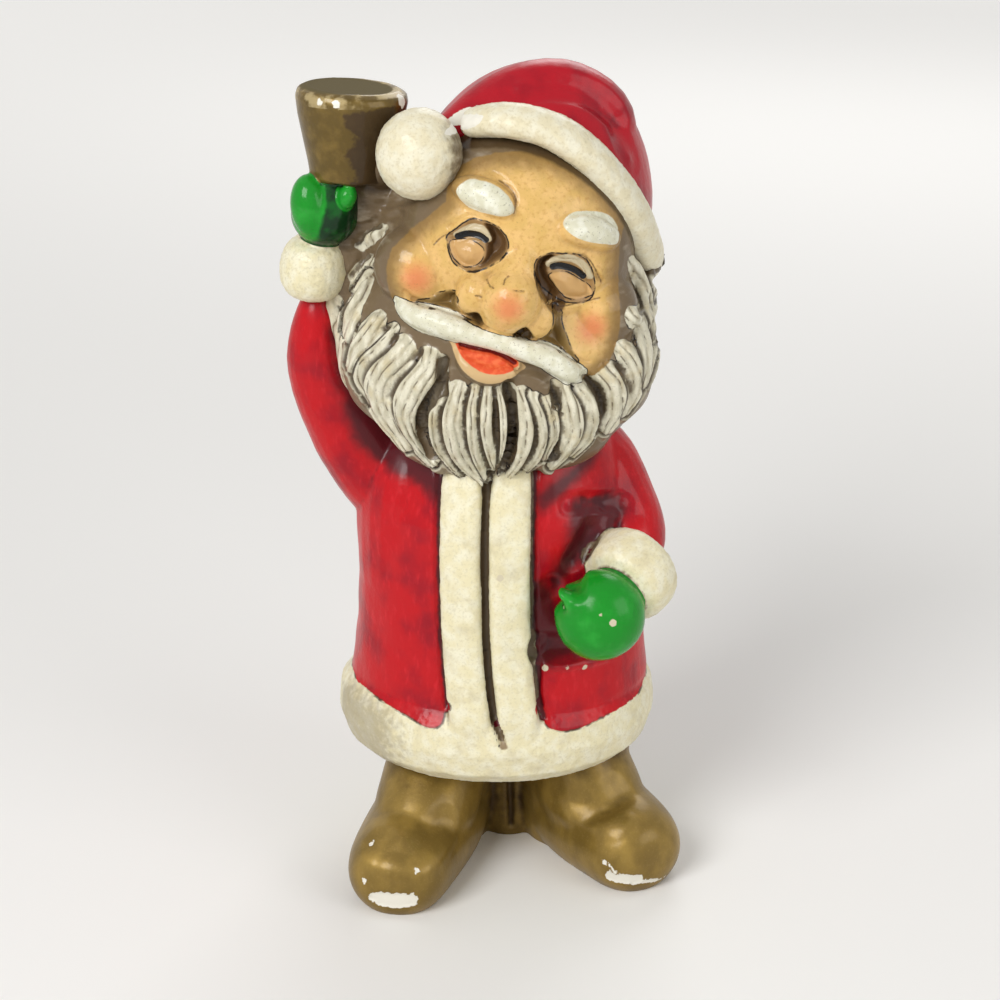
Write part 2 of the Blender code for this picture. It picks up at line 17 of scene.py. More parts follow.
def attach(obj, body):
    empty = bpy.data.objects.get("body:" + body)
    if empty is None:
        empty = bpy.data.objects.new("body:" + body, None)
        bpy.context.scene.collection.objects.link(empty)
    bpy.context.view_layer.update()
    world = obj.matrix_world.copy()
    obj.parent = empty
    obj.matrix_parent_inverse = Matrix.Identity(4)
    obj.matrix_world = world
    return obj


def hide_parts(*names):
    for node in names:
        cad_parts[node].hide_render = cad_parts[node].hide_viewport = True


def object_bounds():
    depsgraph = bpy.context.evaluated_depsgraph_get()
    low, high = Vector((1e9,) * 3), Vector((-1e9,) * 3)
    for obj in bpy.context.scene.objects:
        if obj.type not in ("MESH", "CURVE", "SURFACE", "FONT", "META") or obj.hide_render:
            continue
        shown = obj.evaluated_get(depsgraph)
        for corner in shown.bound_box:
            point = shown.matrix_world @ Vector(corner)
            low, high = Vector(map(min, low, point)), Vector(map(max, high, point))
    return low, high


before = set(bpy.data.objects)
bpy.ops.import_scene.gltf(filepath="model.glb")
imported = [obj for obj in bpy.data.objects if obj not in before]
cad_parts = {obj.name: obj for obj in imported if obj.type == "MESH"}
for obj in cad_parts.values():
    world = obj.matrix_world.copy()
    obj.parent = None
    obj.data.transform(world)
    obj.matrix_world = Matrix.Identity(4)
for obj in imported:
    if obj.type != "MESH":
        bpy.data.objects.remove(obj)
cad_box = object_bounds()


# Boots
# The two boots are the foot of the plaster casting, joined at the heels, with flat soles.
# They are brushed with bronze paint over a dark ground, and both toes are chipped to the plaster.

MM = 0.001
DRAWN_LOW = Vector((-46.62, -39.31, 0))      # the drawing's own lowest corner
SHIFT = cad_box[0] / MM - DRAWN_LOW
FLAT = ((0, 0, 1), (0, 0, 1))
BEFORE = -200                                # where a sight line from the front starts, in y
MISSED = -12                                 # the y from which the nearest skin is taken instead
FAR = -9.0                                   # a depth inside an outline that means well outside it
DULL = 0.06                                  # how much plain sheen stays under the varnish
BRONZE = (0.19, 0.12, 0.026)
BRONZE_LIGHT = (0.34, 0.22, 0.05)
SPARKLE = (0.40, 0.28, 0.09)
BOOT_GLAZE_AND_SHADE = (0.16, 0.11, 0.09)
PLASTER = (0.80, 0.77, 0.68)


def along(points, t):
    """A place on a smooth curve through the points, with t from 0 to 1."""
    last = len(points) - 1
    t = min(max(t, 0.0), 1.0) * last
    start = min(int(t), last - 1)
    f = t - start
    a, b, c, d = (Vector(points[min(max(k, 0), last)]) for k in range(start - 1, start + 3))
    if start == 0:
        a = 2 * b - c
    if start == last - 1:
        d = 2 * c - b
    bend = (2 * a - 5 * b + 4 * c - d) * f * f + (3 * b - a - 3 * c + d) * f ** 3
    return 0.5 * (2 * b + (c - a) * f + bend)


def egg(clay, centre, radii, turn=0.0, detail=(48, 32)):
    """A rounded lump, turned about Y by degrees."""
    lump = Matrix.LocRotScale(Vector(centre), Euler((0, math.radians(turn), 0)), Vector(radii))
    bmesh.ops.create_uvsphere(clay, u_segments=detail[0], v_segments=detail[1], radius=1, matrix=lump)


def roll(clay, path, radii, flat=1.0, facing=((0, -1, 0), (0, -1, 0)), blunt=2.0, boxy=1.0, detail=(24, 32)):
    """A roll of clay along a path, flattened towards where it faces, with fuller ends as blunt grows."""
    made = bmesh.ops.create_uvsphere(clay, u_segments=detail[0], v_segments=detail[1], radius=1)["verts"]
    width = [Vector((radius, 0)) for radius in radii]
    for vert in made:
        t = 0.5 + 0.5 * vert.co.z
        ahead = (along(path, t + 0.03) - along(path, t - 0.03)).normalized()
        side = along(facing, t).cross(ahead).normalized()
        out = ahead.cross(side)
        ring = max(math.hypot(vert.co.x, vert.co.y), 1e-6)
        across = math.copysign(abs(vert.co.x / ring) ** boxy, vert.co.x)
        up = math.copysign(abs(vert.co.y / ring) ** boxy, vert.co.y)
        radius = along(width, t).x * max(0.0, 1 - abs(vert.co.z) ** blunt) ** (1 / blunt)
        vert.co = along(path, t) + radius * (across * side + up * flat * out)


def blended(clay, grain, rounds):
    """The overlapping lumps as one skin with faces of that grain, evened out by so many rounds."""
    bmesh.ops.remove_doubles(clay, verts=clay.verts, dist=1e-4)
    bmesh.ops.recalc_face_normals(clay, faces=clay.faces)
    mould = bpy.data.meshes.new("mould")
    clay.to_mesh(mould)
    clay.free()
    body = bpy.data.objects.new("mould", mould)
    bpy.context.scene.collection.objects.link(body)
    remesh = body.modifiers.new("blend", "REMESH")
    remesh.mode = "VOXEL"
    remesh.voxel_size = grain
    smooth = body.modifiers.new("soften", "SMOOTH")
    smooth.factor = 0.5
    smooth.iterations = rounds
    bpy.context.view_layer.update()
    skin = bpy.data.meshes.new_from_object(body.evaluated_get(bpy.context.evaluated_depsgraph_get()))
    bpy.data.objects.remove(body)
    bpy.data.meshes.remove(mould)
    return skin


def without_pockets(skin):
    """Only the outer shell of the skin is kept."""
    clay = bmesh.new()
    clay.from_mesh(skin)
    waiting = set(clay.faces)
    shells = []
    while waiting:
        shell = [waiting.pop()]
        for face in shell:
            for edge in face.edges:
                for other in edge.link_faces:
                    if other in waiting:
                        waiting.remove(other)
                        shell.append(other)
        shells.append(shell)
    shells.sort(key=len)
    for shell in shells[:-1]:
        bmesh.ops.delete(clay, geom=shell, context="FACES")
    clay.to_mesh(skin)
    clay.free()
    return skin


def places(skin):
    """Where the skin's vertices are, one row each."""
    rows = np.empty(len(skin.vertices) * 3, dtype=np.float32)
    skin.vertices.foreach_get("co", rows)
    return rows.reshape(-1, 3)


def facings(skin):
    """Which way the skin faces at each vertex."""
    rows = np.empty(len(skin.vertices) * 3, dtype=np.float32)
    skin.vertex_normals.foreach_get("vector", rows)
    return rows.reshape(-1, 3)


def put(skin, rows):
    """Move the skin's vertices to these places."""
    skin.vertices.foreach_set("co", np.ascontiguousarray(rows, dtype=np.float32).reshape(-1))
    skin.update()


def line_reach(rows, line):
    """How far each row is from a line of points."""
    line = np.array([tuple(point) for point in line], dtype=np.float64)
    reach = np.full(len(rows), 1e9)
    for a, b in zip(line, line[1:]):
        way = b - a
        t = np.clip((rows - a) @ way / max(way @ way, 1e-9), 0, 1)
        reach = np.minimum(reach, np.linalg.norm(rows - a - t[:, None] * way, axis=1))
    return reach


def press(skin, line, half_width, depth, sharp=1.5, fade=0.0):
    """Press a groove along a line, or raise a ridge where the depth is below zero; its ends may fade."""
    rows = places(skin)
    line = np.array([tuple(point) for point in line])
    low = line.min(axis=0) - half_width
    high = line.max(axis=0) + half_width
    near = np.nonzero(((rows > low) & (rows < high)).all(axis=1))[0]
    reach = line_reach(rows[near], line)
    push = depth * np.clip(1 - (reach / half_width) ** 2, 0, 1) ** sharp
    if fade:
        ends = np.minimum(point_reach(rows[near], line[0]), point_reach(rows[near], line[-1]))
        push *= np.clip(ends / fade, 0, 1)
    rows[near] -= facings(skin)[near] * push[:, None]
    put(skin, rows)


def curve(points, count=40):
    """A smooth line through the points."""
    return [along(points, step / (count - 1)) for step in range(count)]


def struck(ground, x, z):
    """The place on the skin right behind a point drawn from the front, and which way it faces there."""
    hit, normal, _, _ = ground.ray_cast(Vector((x, BEFORE, z)), Vector((0, 1, 0)))
    if hit is None:
        hit, normal, _, _ = ground.find_nearest(Vector((x, MISSED, z)))
    return hit, normal


def laid(ground, points, count=24, lift=0.0):
    """Points drawn from the front, laid on the skin behind them."""
    line = []
    for x, z in curve(points, count):
        hit, normal = struck(ground, x, z)
        line.append(hit + lift * normal)
    return line


def tree_of(*lumps):
    """The outer side of some lumps or a skin, to measure to or to lay clay on."""
    verts = []
    faces = []
    for clay in lumps:
        if isinstance(clay, bmesh.types.BMesh):
            clay.verts.index_update()
            faces += [[len(verts) + vert.index for vert in face.verts] for face in clay.faces]
            verts += [vert.co.copy() for vert in clay.verts]
        else:
            faces += [[len(verts) + index for index in face.vertices] for face in clay.polygons]
            verts += [vert.co.copy() for vert in clay.vertices]
    return BVHTree.FromPolygons(verts, faces)


def distance_to(rows, tree):
    """How far each row is from the surface that the tree holds."""
    return np.array([tree.find_nearest(Vector(row))[3] for row in rows])


def point_reach(rows, spot):
    """How far each row is from one point."""
    return np.linalg.norm(rows - np.array(spot), axis=1)


def deepest(depths):
    """The largest of several depths at each row, and never below what means far outside."""
    return np.maximum(np.max(list(depths), axis=0), FAR)


def averaged(values, edges, rounds):
    """The values evened out over the skin, each with its neighbours, so many rounds."""
    count = len(values)
    share = np.maximum(np.bincount(edges.ravel(), minlength=count), 1)
    flat = values.reshape(count, -1).astype(np.float64)
    for _ in range(rounds):
        total = np.empty_like(flat)
        for column in range(flat.shape[1]):
            lane = flat[:, column]
            total[:, column] = (np.bincount(edges[:, 0], weights=lane[edges[:, 1]], minlength=count)
                                + np.bincount(edges[:, 1], weights=lane[edges[:, 0]], minlength=count))
        flat = 0.5 * flat + 0.5 * total / share[:, None]
    return flat.reshape(values.shape)


def hollows(skin, rounds):
    """How deep each vertex lies in a recess, in millimetres; below zero on a ridge."""
    edges = np.empty(len(skin.edges) * 2, dtype=np.int32)
    skin.edges.foreach_get("vertices", edges)
    edges = edges.reshape(-1, 2)
    rows = places(skin).astype(np.float64)
    even = averaged(rows, edges, rounds)
    depth = ((even - rows) * facings(skin)).sum(axis=1)
    return averaged(depth, edges, 2)


def pooled(skin, rounds=24, full=0.35, least=0, most=1.5):
    """How much wash has pooled at each vertex, where a hollow of the full depth holds 1."""
    return np.clip(hollows(skin, rounds) / full, least, most)


def grain_of(rows, size, seed=0.0):
    """A smooth random value from about -1 to 1 for each row, with lumps of that size."""
    return np.array([noise.noise(Vector(row) / size + Vector((seed, seed, seed))) for row in rows])


def note(skin, name, values):
    """Keep a value for each vertex on the skin, for its paint to read."""
    kept = skin.attributes.new(name, "FLOAT", "POINT")
    kept.data.foreach_set("value", np.ascontiguousarray(values, dtype=np.float32))


def shown(skin, name, material):
    """Stand the finished skin in the frame as a piece on the root body, in place of the casting."""
    skin.name = name
    put(skin, (places(skin) + np.array(SHIFT)) * MM)
    skin.materials.clear()
    skin.materials.append(material)
    skin.shade_smooth()
    piece = bpy.data.objects.new(name, skin)
    bpy.context.scene.collection.objects.link(piece)
    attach(piece, "root")
    return piece


class Paint:
    """A paint job being mixed: a material with its colour, roughness and metal so far."""

    def __init__(self, name, colour, rough, metal=0.0):
        self.material = bpy.data.materials.new(name)
        self.material.use_nodes = True
        self.tree = self.material.node_tree
        self.shader = self.tree.nodes["Principled BSDF"]
        spot = self.tree.nodes.new("ShaderNodeTexCoord").outputs["Object"]
        self.spot = self.node("ShaderNodeMapping", {"Vector": spot, "Scale": (1 / MM,) * 3}).outputs[0]
        self.colour = colour
        self.rough = rough
        self.metal = metal

    def feed(self, socket, value):
        """Link a socket to another one, or set its value; a colour may leave out its alpha."""
        if isinstance(value, bpy.types.NodeSocket):
            self.tree.links.new(value, socket)
        elif socket.type == "RGBA" and len(value) == 3:
            socket.default_value = value + (1,)
        else:
            socket.default_value = value

    def node(self, kind, inputs, **settings):
        """A node with its settings, and each input linked or set."""
        made = self.tree.nodes.new(kind)
        for name, value in settings.items():
            setattr(made, name, value)
        for name, value in inputs.items():
            self.feed(made.inputs[name], value)
        return made

    def math(self, operation, first, second):
        """The sum, product or the like of two numbers."""
        return self.node("ShaderNodeMath", {0: first, 1: second}, operation=operation).outputs[0]

    def times(self, first, second):
        """The product of two numbers."""
        return self.math("MULTIPLY", first, second)

    def span(self, value, low, high, to_low=0.0, to_high=1.0):
        """A number carried smoothly from one span to another."""
        inputs = {"Value": value, "From Min": low, "From Max": high, "To Min": to_low, "To Max": to_high}
        return self.node("ShaderNodeMapRange", inputs, interpolation_type="SMOOTHSTEP").outputs[0]

    def cloud(self, size, detail=2.0, stretch=(1, 1, 1)):
        """Noise from 0 to 1 with lumps of that size in millimetres."""
        spot = self.node("ShaderNodeMapping", {"Vector": self.spot, "Scale": stretch}).outputs[0]
        inputs = {"Vector": spot, "Scale": 1 / size, "Detail": detail}
        return self.node("ShaderNodeTexNoise", inputs).outputs[0]

    def patches(self, size, detail, low, high, strength=1.0, stretch=(1, 1, 1)):
        """Where such noise is high, up to a strength."""
        return self.span(self.cloud(size, detail, stretch), low, high, 0, strength)

    def drift(self, size, detail=2.0, amount=1.0):
        """Noise about zero with lumps of that size, up to half the amount either way."""
        return self.times(self.math("SUBTRACT", self.cloud(size, detail), 0.5), amount)

    def kept(self, name):
        """A value kept on the skin."""
        return self.node("ShaderNodeAttribute", {}, attribute_name=name).outputs["Fac"]

    def uneven(self, name, size, detail=2.0, amount=1.0):
        """A value kept on the skin, broken up by noise as a wash is."""
        return self.math("ADD", self.kept(name), self.drift(size, detail, amount))

    def off_line(self, name, size, detail=2.0, amount=1.0, start=0.0):
        """How far a kept distance is from its line, on either side, where that line wanders."""
        beyond = self.math("SUBTRACT", self.uneven(name, size, detail, amount), start)
        return self.math("ABSOLUTE", beyond, 0.0)

    def edge(self, name, wobble, size=1.2, soft=0.12, start=0.0):
        """Where a kept distance says inside, with a hand-painted edge that wanders by the wobble."""
        return self.span(self.uneven(name, size, amount=2 * wobble), start - soft, start + soft)

    def mixed(self, mask, first, second, blend="MIX"):
        """Two colours mixed by a mask."""
        made = self.node("ShaderNodeMix", {}, data_type="RGBA", blend_type=blend)
        for number, value in ((0, mask), (6, first), (7, second)):
            self.feed(made.inputs[number], value)
        return made.outputs[2]

    def layered(self, colour, *layers):
        """A colour with others laid over it in turn, each where its mask says."""
        for mask, over in layers:
            colour = self.mixed(mask, colour, over)
        return colour

    def brush(self, mask, colour, rough=None, metal=None):
        """Brush a colour on where the mask says."""
        self.colour = self.mixed(mask, self.colour, colour)
        if rough is not None:
            self.rough = self.span(mask, 0, 1, self.rough, rough)
        if metal is not None:
            self.metal = self.span(mask, 0, 1, self.metal, metal)

    def stain(self, mask, colour):
        """Multiply a dark colour in where the mask says, for a thin glaze and for painted shade."""
        self.colour = self.mixed(mask, self.colour, colour, "MULTIPLY")

    def finish(self, bumps, varnish, varnish_rough):
        """Join the colour, roughness and bumps to the shader, under a clear varnish."""
        normal = None
        for height, depth in bumps:
            inputs = {"Height": height, "Distance": depth * MM, "Strength": 1.0}
            if normal is not None:
                inputs["Normal"] = normal
            normal = self.node("ShaderNodeBump", inputs).outputs[0]
        look = {"Base Color": self.colour, "Roughness": self.rough, "Metallic": self.metal,
                "Coat Weight": varnish, "Normal": normal}
        for name, value in look.items():
            if value is not None:
                self.feed(self.shader.inputs[name], value)
        self.shader.inputs["Specular IOR Level"].default_value = DULL
        self.shader.inputs["Coat Roughness"].default_value = varnish_rough
        return self.material


boots = bmesh.new()
LEFT_FOOT = [(-12.5, 15, 6), (-17, -8, 8), (-22.2, -26, 7.8), (-24.4, -37.6, 7)]
RIGHT_FOOT = [(15, 15, 6), (21, -3, 8), (29, -16.5, 8), (34.8, -27, 7.2)]
for leg_x, foot in ((-13.5, LEFT_FOOT), (16.5, RIGHT_FOOT)):
    shaft = [(leg_x, 1, 36), (leg_x, 1, 28), (leg_x, 3, 14), (leg_x, 5, -4)]
    roll(boots, shaft, [15.0, 14.8, 12.8, 11.4], flat=1.08, blunt=6)
    roll(boots, foot, [13.0, 13.4, 12.4, 11.6], 0.94, FLAT, blunt=3.4)
    toe_x, toe_y, _ = foot[2]
    instep = [(leg_x, -2, 33), (leg_x * 0.7 + toe_x * 0.3, toe_y * 0.4, 18), (toe_x, toe_y, 8)]
    roll(boots, instep, [11.5, 12, 11.5], blunt=2.6)
roll(boots, [(2, 5, 36), (2, 5, 20), (2, 6, -4)], [8, 8, 8], blunt=5)
roll(boots, [(2, -2, 36), (2, 2, 20), (2, 12, -4)], [8.4, 8, 7], blunt=5)
boots = without_pockets(blended(boots, grain=0.5, rounds=26))
boots_tree = tree_of(boots)

# Soft folds and ridges across the ankles, and the groove where the boots meet
for fold in ([(-27, 17), (-21, 15.5), (-13, 17.5)], [(13, 19.5), (20, 18.5), (27, 21)]):
    press(boots, laid(boots_tree, fold), half_width=5, depth=0.9)
for ridge in ([(-24, 13), (-18, 12.5), (-12, 15)], [(16, 15), (23, 15.5), (28, 17)]):
    press(boots, laid(boots_tree, ridge), half_width=4, depth=-0.5)
press(boots, laid(boots_tree, [(2.2, 30), (2.4, 16), (2.7, 3)]), half_width=1.3, depth=0.9)

# Flat soles
clay = bmesh.new()
clay.from_mesh(boots)
whole = clay.verts[:] + clay.edges[:] + clay.faces[:]
cut = bmesh.ops.bisect_plane(clay, geom=whole, dist=1e-4, plane_co=(0, 0, 0), plane_no=(0, 0, -1),
                             clear_outer=True)
rim = [edge for edge in cut["geom_cut"] if isinstance(edge, bmesh.types.BMEdge)]
bmesh.ops.holes_fill(clay, edges=rim, sides=0)
bmesh.ops.triangulate(clay, faces=[face for face in clay.faces if len(face.verts) > 4])
clay.to_mesh(boots)
clay.free()
rows = places(boots)
rows[:, 2] = np.maximum(rows[:, 2], 0)
put(boots, rows)

# Chips: the paint and a little plaster are gone at the front of each sole
CHIPS = (
    ([(-26.6, -36.7, 4.8), (-23.4, -37.4, 4.6), (-20.4, -37.4, 5.2)], 2.1),
    ([(-28.6, -36.0, 4.6), (-27.8, -36.2, 5.4)], 1.0),
    ([(-18.4, -37.0, 11.4), (-18.4, -37.0, 12.4)], 0.8),
    ([(-30.2, -35.5, 8.3), (-30.2, -35.5, 8.9)], 0.6),
    ([(-28.9, -31.4, 16.0), (-28.9, -31.4, 16.5)], 0.6),
    ([(25.2, -28.2, 5.3), (28.4, -28.6, 4.8), (31.2, -28.0, 4.4)], 1.5),
    ([(23.4, -27.4, 9.2), (25.2, -28.4, 7.9), (26.8, -28.8, 6.4)], 0.6),
    ([(31.8, -27.6, 3.8), (34.8, -26.0, 2.8), (37.4, -23.4, 2.4)], 0.6),
)
rows = places(boots)
ragged = 0.5 * grain_of(rows, 0.9) + 0.25 * grain_of(rows, 0.4, 5)
chip = deepest(half + ragged - line_reach(rows, line) for line, half in CHIPS)
rows -= facings(boots) * (0.35 * np.clip(chip / 0.4, 0, 1))[:, None]
put(boots, rows)
note(boots, "chip", chip)
rows = places(boots)
# The wash holds brown glaze pooled in the boots' hollows, plus painted shade between the legs and under the
# coat's hem.
crotch_shade = np.clip(1 - line_reach(rows, [(2, -4, 34), (2, -3, 22), (2, 2, 8), (2, 5, 1)]) / 9, 0, 1)
hem_shade = np.clip((rows[:, 2] - 21) / 8, 0, 1)
note(boots, "wash", pooled(boots, 30, 0.5, most=1) + 1.2 * crotch_shade + 0.8 * hem_shade)

paint = Paint("bronze_boot_paint", BRONZE, rough=0.42, metal=0.4)
paint.brush(paint.patches(7.0, 4, 0.35, 0.8, stretch=(1, 1, 0.6)), BRONZE_LIGHT)
paint.brush(paint.patches(0.5, 3, 0.52, 0.75, 0.18), SPARKLE)
# Brown glaze and painted shade are multiplied into the bronze here.
paint.stain(paint.span(paint.uneven("wash", 3.0, 4), 0.15, 1.15, 0, 0.9), BOOT_GLAZE_AND_SHADE)
paint.brush(paint.edge("chip", wobble=0.25, size=0.6, soft=0.08), PLASTER, rough=0.8, metal=0.0)
bumps = [(paint.cloud(1.6, 4), 0.08), (paint.cloud(0.35, 3), 0.03)]
boots_piece = shown(boots, "boots", paint.finish(bumps, varnish=0.35, varnish_rough=0.22))
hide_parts("santa_figurine")


# Coat
# The long red coat, its rolled fur hem, the two fur bands and both sleeves are one mass of plaster.
# The red is painted first, then the cream fur by hand, and a dark wash is left in every hollow.

COAT_PROFILE = [
    (0, 118), (14, 116), (22, 109), (27, 99), (30.5, 88), (32, 72), (32.8, 58), (34.2, 46), (33, 36),
    (24, 31), (0, 30),
]
HEM_PROFILE = [
    (0, 45), (29.6, 46.3), (33.6, 45.8), (36.1, 42.5), (36.7, 37), (35.1, 31.4), (31.6, 28.3),
    (25.6, 27.7), (0, 28),
]
HEM_OFFSET = -0.8
BAND = 4.5                                   # half the width of a fur band
BAND_STEP = 5.2                              # from the groove's middle to a band's middle
BAND_LINE = [(-2.6, 104), (-3.2, 84), (-2.8, 62), (-1.6, 48), (-0.4, 37)]
ELBOW = Vector((-33.8, -2, 107.5))
RAISED_CUFF = Vector((-39.2, -7.5, 143))
LOW_ELBOW = Vector((27.6, -5, 82))
LOW_CUFF = LOW_ELBOW + Vector((0.8, -15, -5))
LOW_HAND = LOW_CUFF + Vector((-7.0, -10.5, -5))
RED = (0.50, 0.004, 0.009)
RED_DEEP = (0.31, 0.003, 0.012)
RED_BRIGHT = (0.66, 0.02, 0.03)
MAROON = (0.075, 0.008, 0.012)
CREAM = (0.76, 0.69, 0.45)
CREAM_PALE = (0.82, 0.78, 0.60)
FUR_PIT = (0.50, 0.44, 0.28)
FUR_GLAZE = (0.13, 0.085, 0.045)
GREEN = (0.007, 0.25, 0.016)
GREEN_BRIGHT = (0.018, 0.33, 0.03)
GREEN_DEEP = (0.006, 0.13, 0.016)
TAUPE = (0.30, 0.22, 0.13)


def turned(clay, profile, depth=1.0, offset=0.0, steps=72):
    """A shape turned about Z from a profile of radius and height, and squeezed front to back."""
    before = set(clay.verts)
    verts = [clay.verts.new((radius, 0, height)) for radius, height in profile]
    edges = [clay.edges.new(pair) for pair in zip(verts, verts[1:])]
    bmesh.ops.spin(clay, geom=verts + edges, cent=(0, 0, 0), axis=(0, 0, 1), angle=2 * math.pi, steps=steps,
                   use_merge=True)
    for vert in clay.verts:
        if vert not in before:
            vert.co = (vert.co.x + offset, vert.co.y * depth, vert.co.z)


def ribbon(clay, ground, points, radii, relief, lift=0.0, blunt=2.0, boxy=1.0, detail=(20, 40)):
    """A strand of clay laid on the clay behind it, standing out by its relief."""
    path = []
    facing = []
    for x, z in curve(points, 18):
        hit, normal = struck(ground, x, z)
        path.append(hit + lift * normal)
        facing.append(normal)
    widths = [along([(radius, 0) for radius in radii], step / 17).x for step in range(18)]
    roll(clay, path, widths, relief / max(widths), facing, blunt, boxy, detail)


def joined(*lumps):
    """The lumps of clay put together, ready to be blended."""
    whole = bmesh.new()
    for lump in lumps:
        part = bpy.data.meshes.new("lump")
        lump.to_mesh(part)
        whole.from_mesh(part)
        bpy.data.meshes.remove(part)
        lump.free()
    return whole


def inside(rows, outline):
    """How far each row lies inside a closed outline drawn from the front; below zero outside it."""
    flat = rows[:, [0, 2]].astype(np.float64)
    corners = np.array(outline, dtype=np.float64)
    within = np.zeros(len(flat), dtype=bool)
    for a, b in zip(corners, np.roll(corners, -1, axis=0)):
        crosses = (a[1] > flat[:, 1]) != (b[1] > flat[:, 1])
        height = b[1] - a[1] if b[1] != a[1] else 1e-9
        within ^= crosses & (flat[:, 0] < a[0] + (flat[:, 1] - a[1]) / height * (b[0] - a[0]))
    reach = line_reach(flat, list(corners) + [corners[0]])
    return np.where(within, reach, -reach)


def rounded(points, count=60):
    """A closed smooth outline through the points."""
    loop = points[-1:] + points + points[:2]
    steps = len(loop) - 1
    return [tuple(along(loop, (1 + len(points) * k / count) / steps)) for k in range(count)]


def stippled(paint, cream, pale, grain, share, pit=FUR_PIT):
    """The fur's colour: two creams in soft patches, with dull paint in a share of its fine pits."""
    return paint.layered(cream, (paint.patches(2.6, 4, 0.35, 0.7), pale),
                         (paint.patches(grain, 4, 0.50, 0.66, share), pit))


body = bmesh.new()
turned(body, COAT_PROFILE, depth=0.8)
body_tree = tree_of(body)
hem = bmesh.new()
turned(hem, HEM_PROFILE, depth=0.82, offset=HEM_OFFSET)
bands = bmesh.new()
for side in (-1, 1):
    line = [(x + side * BAND_STEP, z) for x, z in BAND_LINE]
    ribbon(bands, body_tree, line, [BAND] * 5, relief=3.0, blunt=8, boxy=0.5)
sleeves = bmesh.new()
raised = [(-6, 3, 72), (-20, 1, 88), (-28, -0.5, 97), ELBOW, ELBOW + Vector((-4.9, -2, 14)),
          RAISED_CUFF + Vector((0.2, 1.5, -5))]
roll(sleeves, raised, [11.3, 12.2, 10.6, 9.6, 8.7, 6.8], blunt=2.6)
egg(sleeves, (-21.0, 0, 90), (10.0, 15.5, 17))
side = [(-17, 0, 106), (-19.6, 0, 90), (-20.4, 0, 72), (-21, 0, 50)]
roll(sleeves, side, [11.5, 12.4, 12, 11.5], 1.4, blunt=3)
lowered = [(11, 2, 101), (20, 1, 94), LOW_ELBOW, LOW_ELBOW + Vector((2.5, -9, -4.5))]
roll(sleeves, lowered, [12.1, 11.3, 9.5, 8.6], blunt=3)
low_cuff = bmesh.new()
reach = Vector((-3.8, -4.6, -2.4))
roll(low_cuff, [LOW_CUFF - reach, LOW_CUFF, LOW_CUFF + reach], [9.9, 10.5, 9.7], blunt=4)
low_mitten = bmesh.new()
egg(low_mitten, LOW_HAND, (9.8, 8.6, 10.1))
egg(low_mitten, LOW_HAND + Vector((-5.8, -3.0, 4.9)), (4.2, 4.2, 3.2), 18)

red_tree = tree_of(body, sleeves)
fur_tree = tree_of(hem, bands, low_cuff)
green_tree = tree_of(low_mitten)
everything = joined(body, hem, bands, sleeves, low_cuff, low_mitten)
coat = without_pockets(blended(everything, grain=0.5, rounds=3))
coat_tree = tree_of(coat)

# Grooves between the bands, along their outer edges, round the lowered sleeve and at the ledge below it
GROOVE_LINE = [(-2.6, 102), (-3.2, 84), (-2.8, 62), (-1.6, 48), (0.8, 39.5)]
press(coat, laid(coat_tree, GROOVE_LINE, 60), 1.0, 1.7, sharp=1, fade=1.5)
for side in (-1, 1):
    edge = [(x + side * (BAND_STEP + BAND + 0.4), z) for x, z in BAND_LINE[:-1]]
    press(coat, laid(coat_tree, edge, 50), 1.5, 0.8)
press(coat, laid(coat_tree, [(15, 93), (21, 92.6), (27, 90)]), 3.0, 1.7, fade=4)
press(coat, laid(coat_tree, [(22, 91), (18.5, 85), (14, 78), (8.5, 74)]), 3.4, 1.5, fade=5)
press(coat, laid(coat_tree, [(8, 62), (16, 61), (25, 60.5)]), 4.4, 2.0, fade=3)
press(coat, laid(coat_tree, [(8.8, 58), (8.4, 51), (9.6, 45)]), 1.2, 0.7)
press(coat, laid(coat_tree, [(9.6, 56.6), (16.3, 56), (24.7, 55.4)]), 1.2, -0.5, fade=2)

rows = places(coat)
red_reach = distance_to(rows, red_tree)
fur_reach = distance_to(rows, fur_tree)
green_reach = distance_to(rows, green_tree)
fur = np.minimum(red_reach, green_reach) - fur_reach
furry = np.clip(fur / 0.6, 0, 1)
nap = 0.10 * grain_of(rows, 1.1) + 0.07 * grain_of(rows, 0.55, 3)
swell = 0.18 * grain_of(rows, 6.0, 9)
rows += facings(coat) * (furry * nap + swell)[:, None]
put(coat, rows)
# The red paint runs down onto the rolled hem at both sides of the bands
RED_DIPS = (
    [
        (-34, 50), (-33.2, 45.7), (-29.7, 45.6), (-22.3, 44.3), (-16.5, 42.8), (-13.2, 43.4),
        (-12.2, 46), (-12.6, 50),
    ],
    [(9.6, 50), (9.6, 44.6), (11.8, 42.7), (16.3, 41.7), (23.7, 42.9), (30.1, 43.3), (33, 44.5), (34, 50)],
)
for outline in RED_DIPS:
    dip = np.where(rows[:, 1] < 0, inside(rows, rounded(outline)), FAR)
    fur = np.where(dip > -0.6, np.minimum(fur, -dip), fur)
note(coat, "fur", fur)
note(coat, "mitten", np.minimum(red_reach, fur_reach) - green_reach)
note(coat, "wash", pooled(coat))
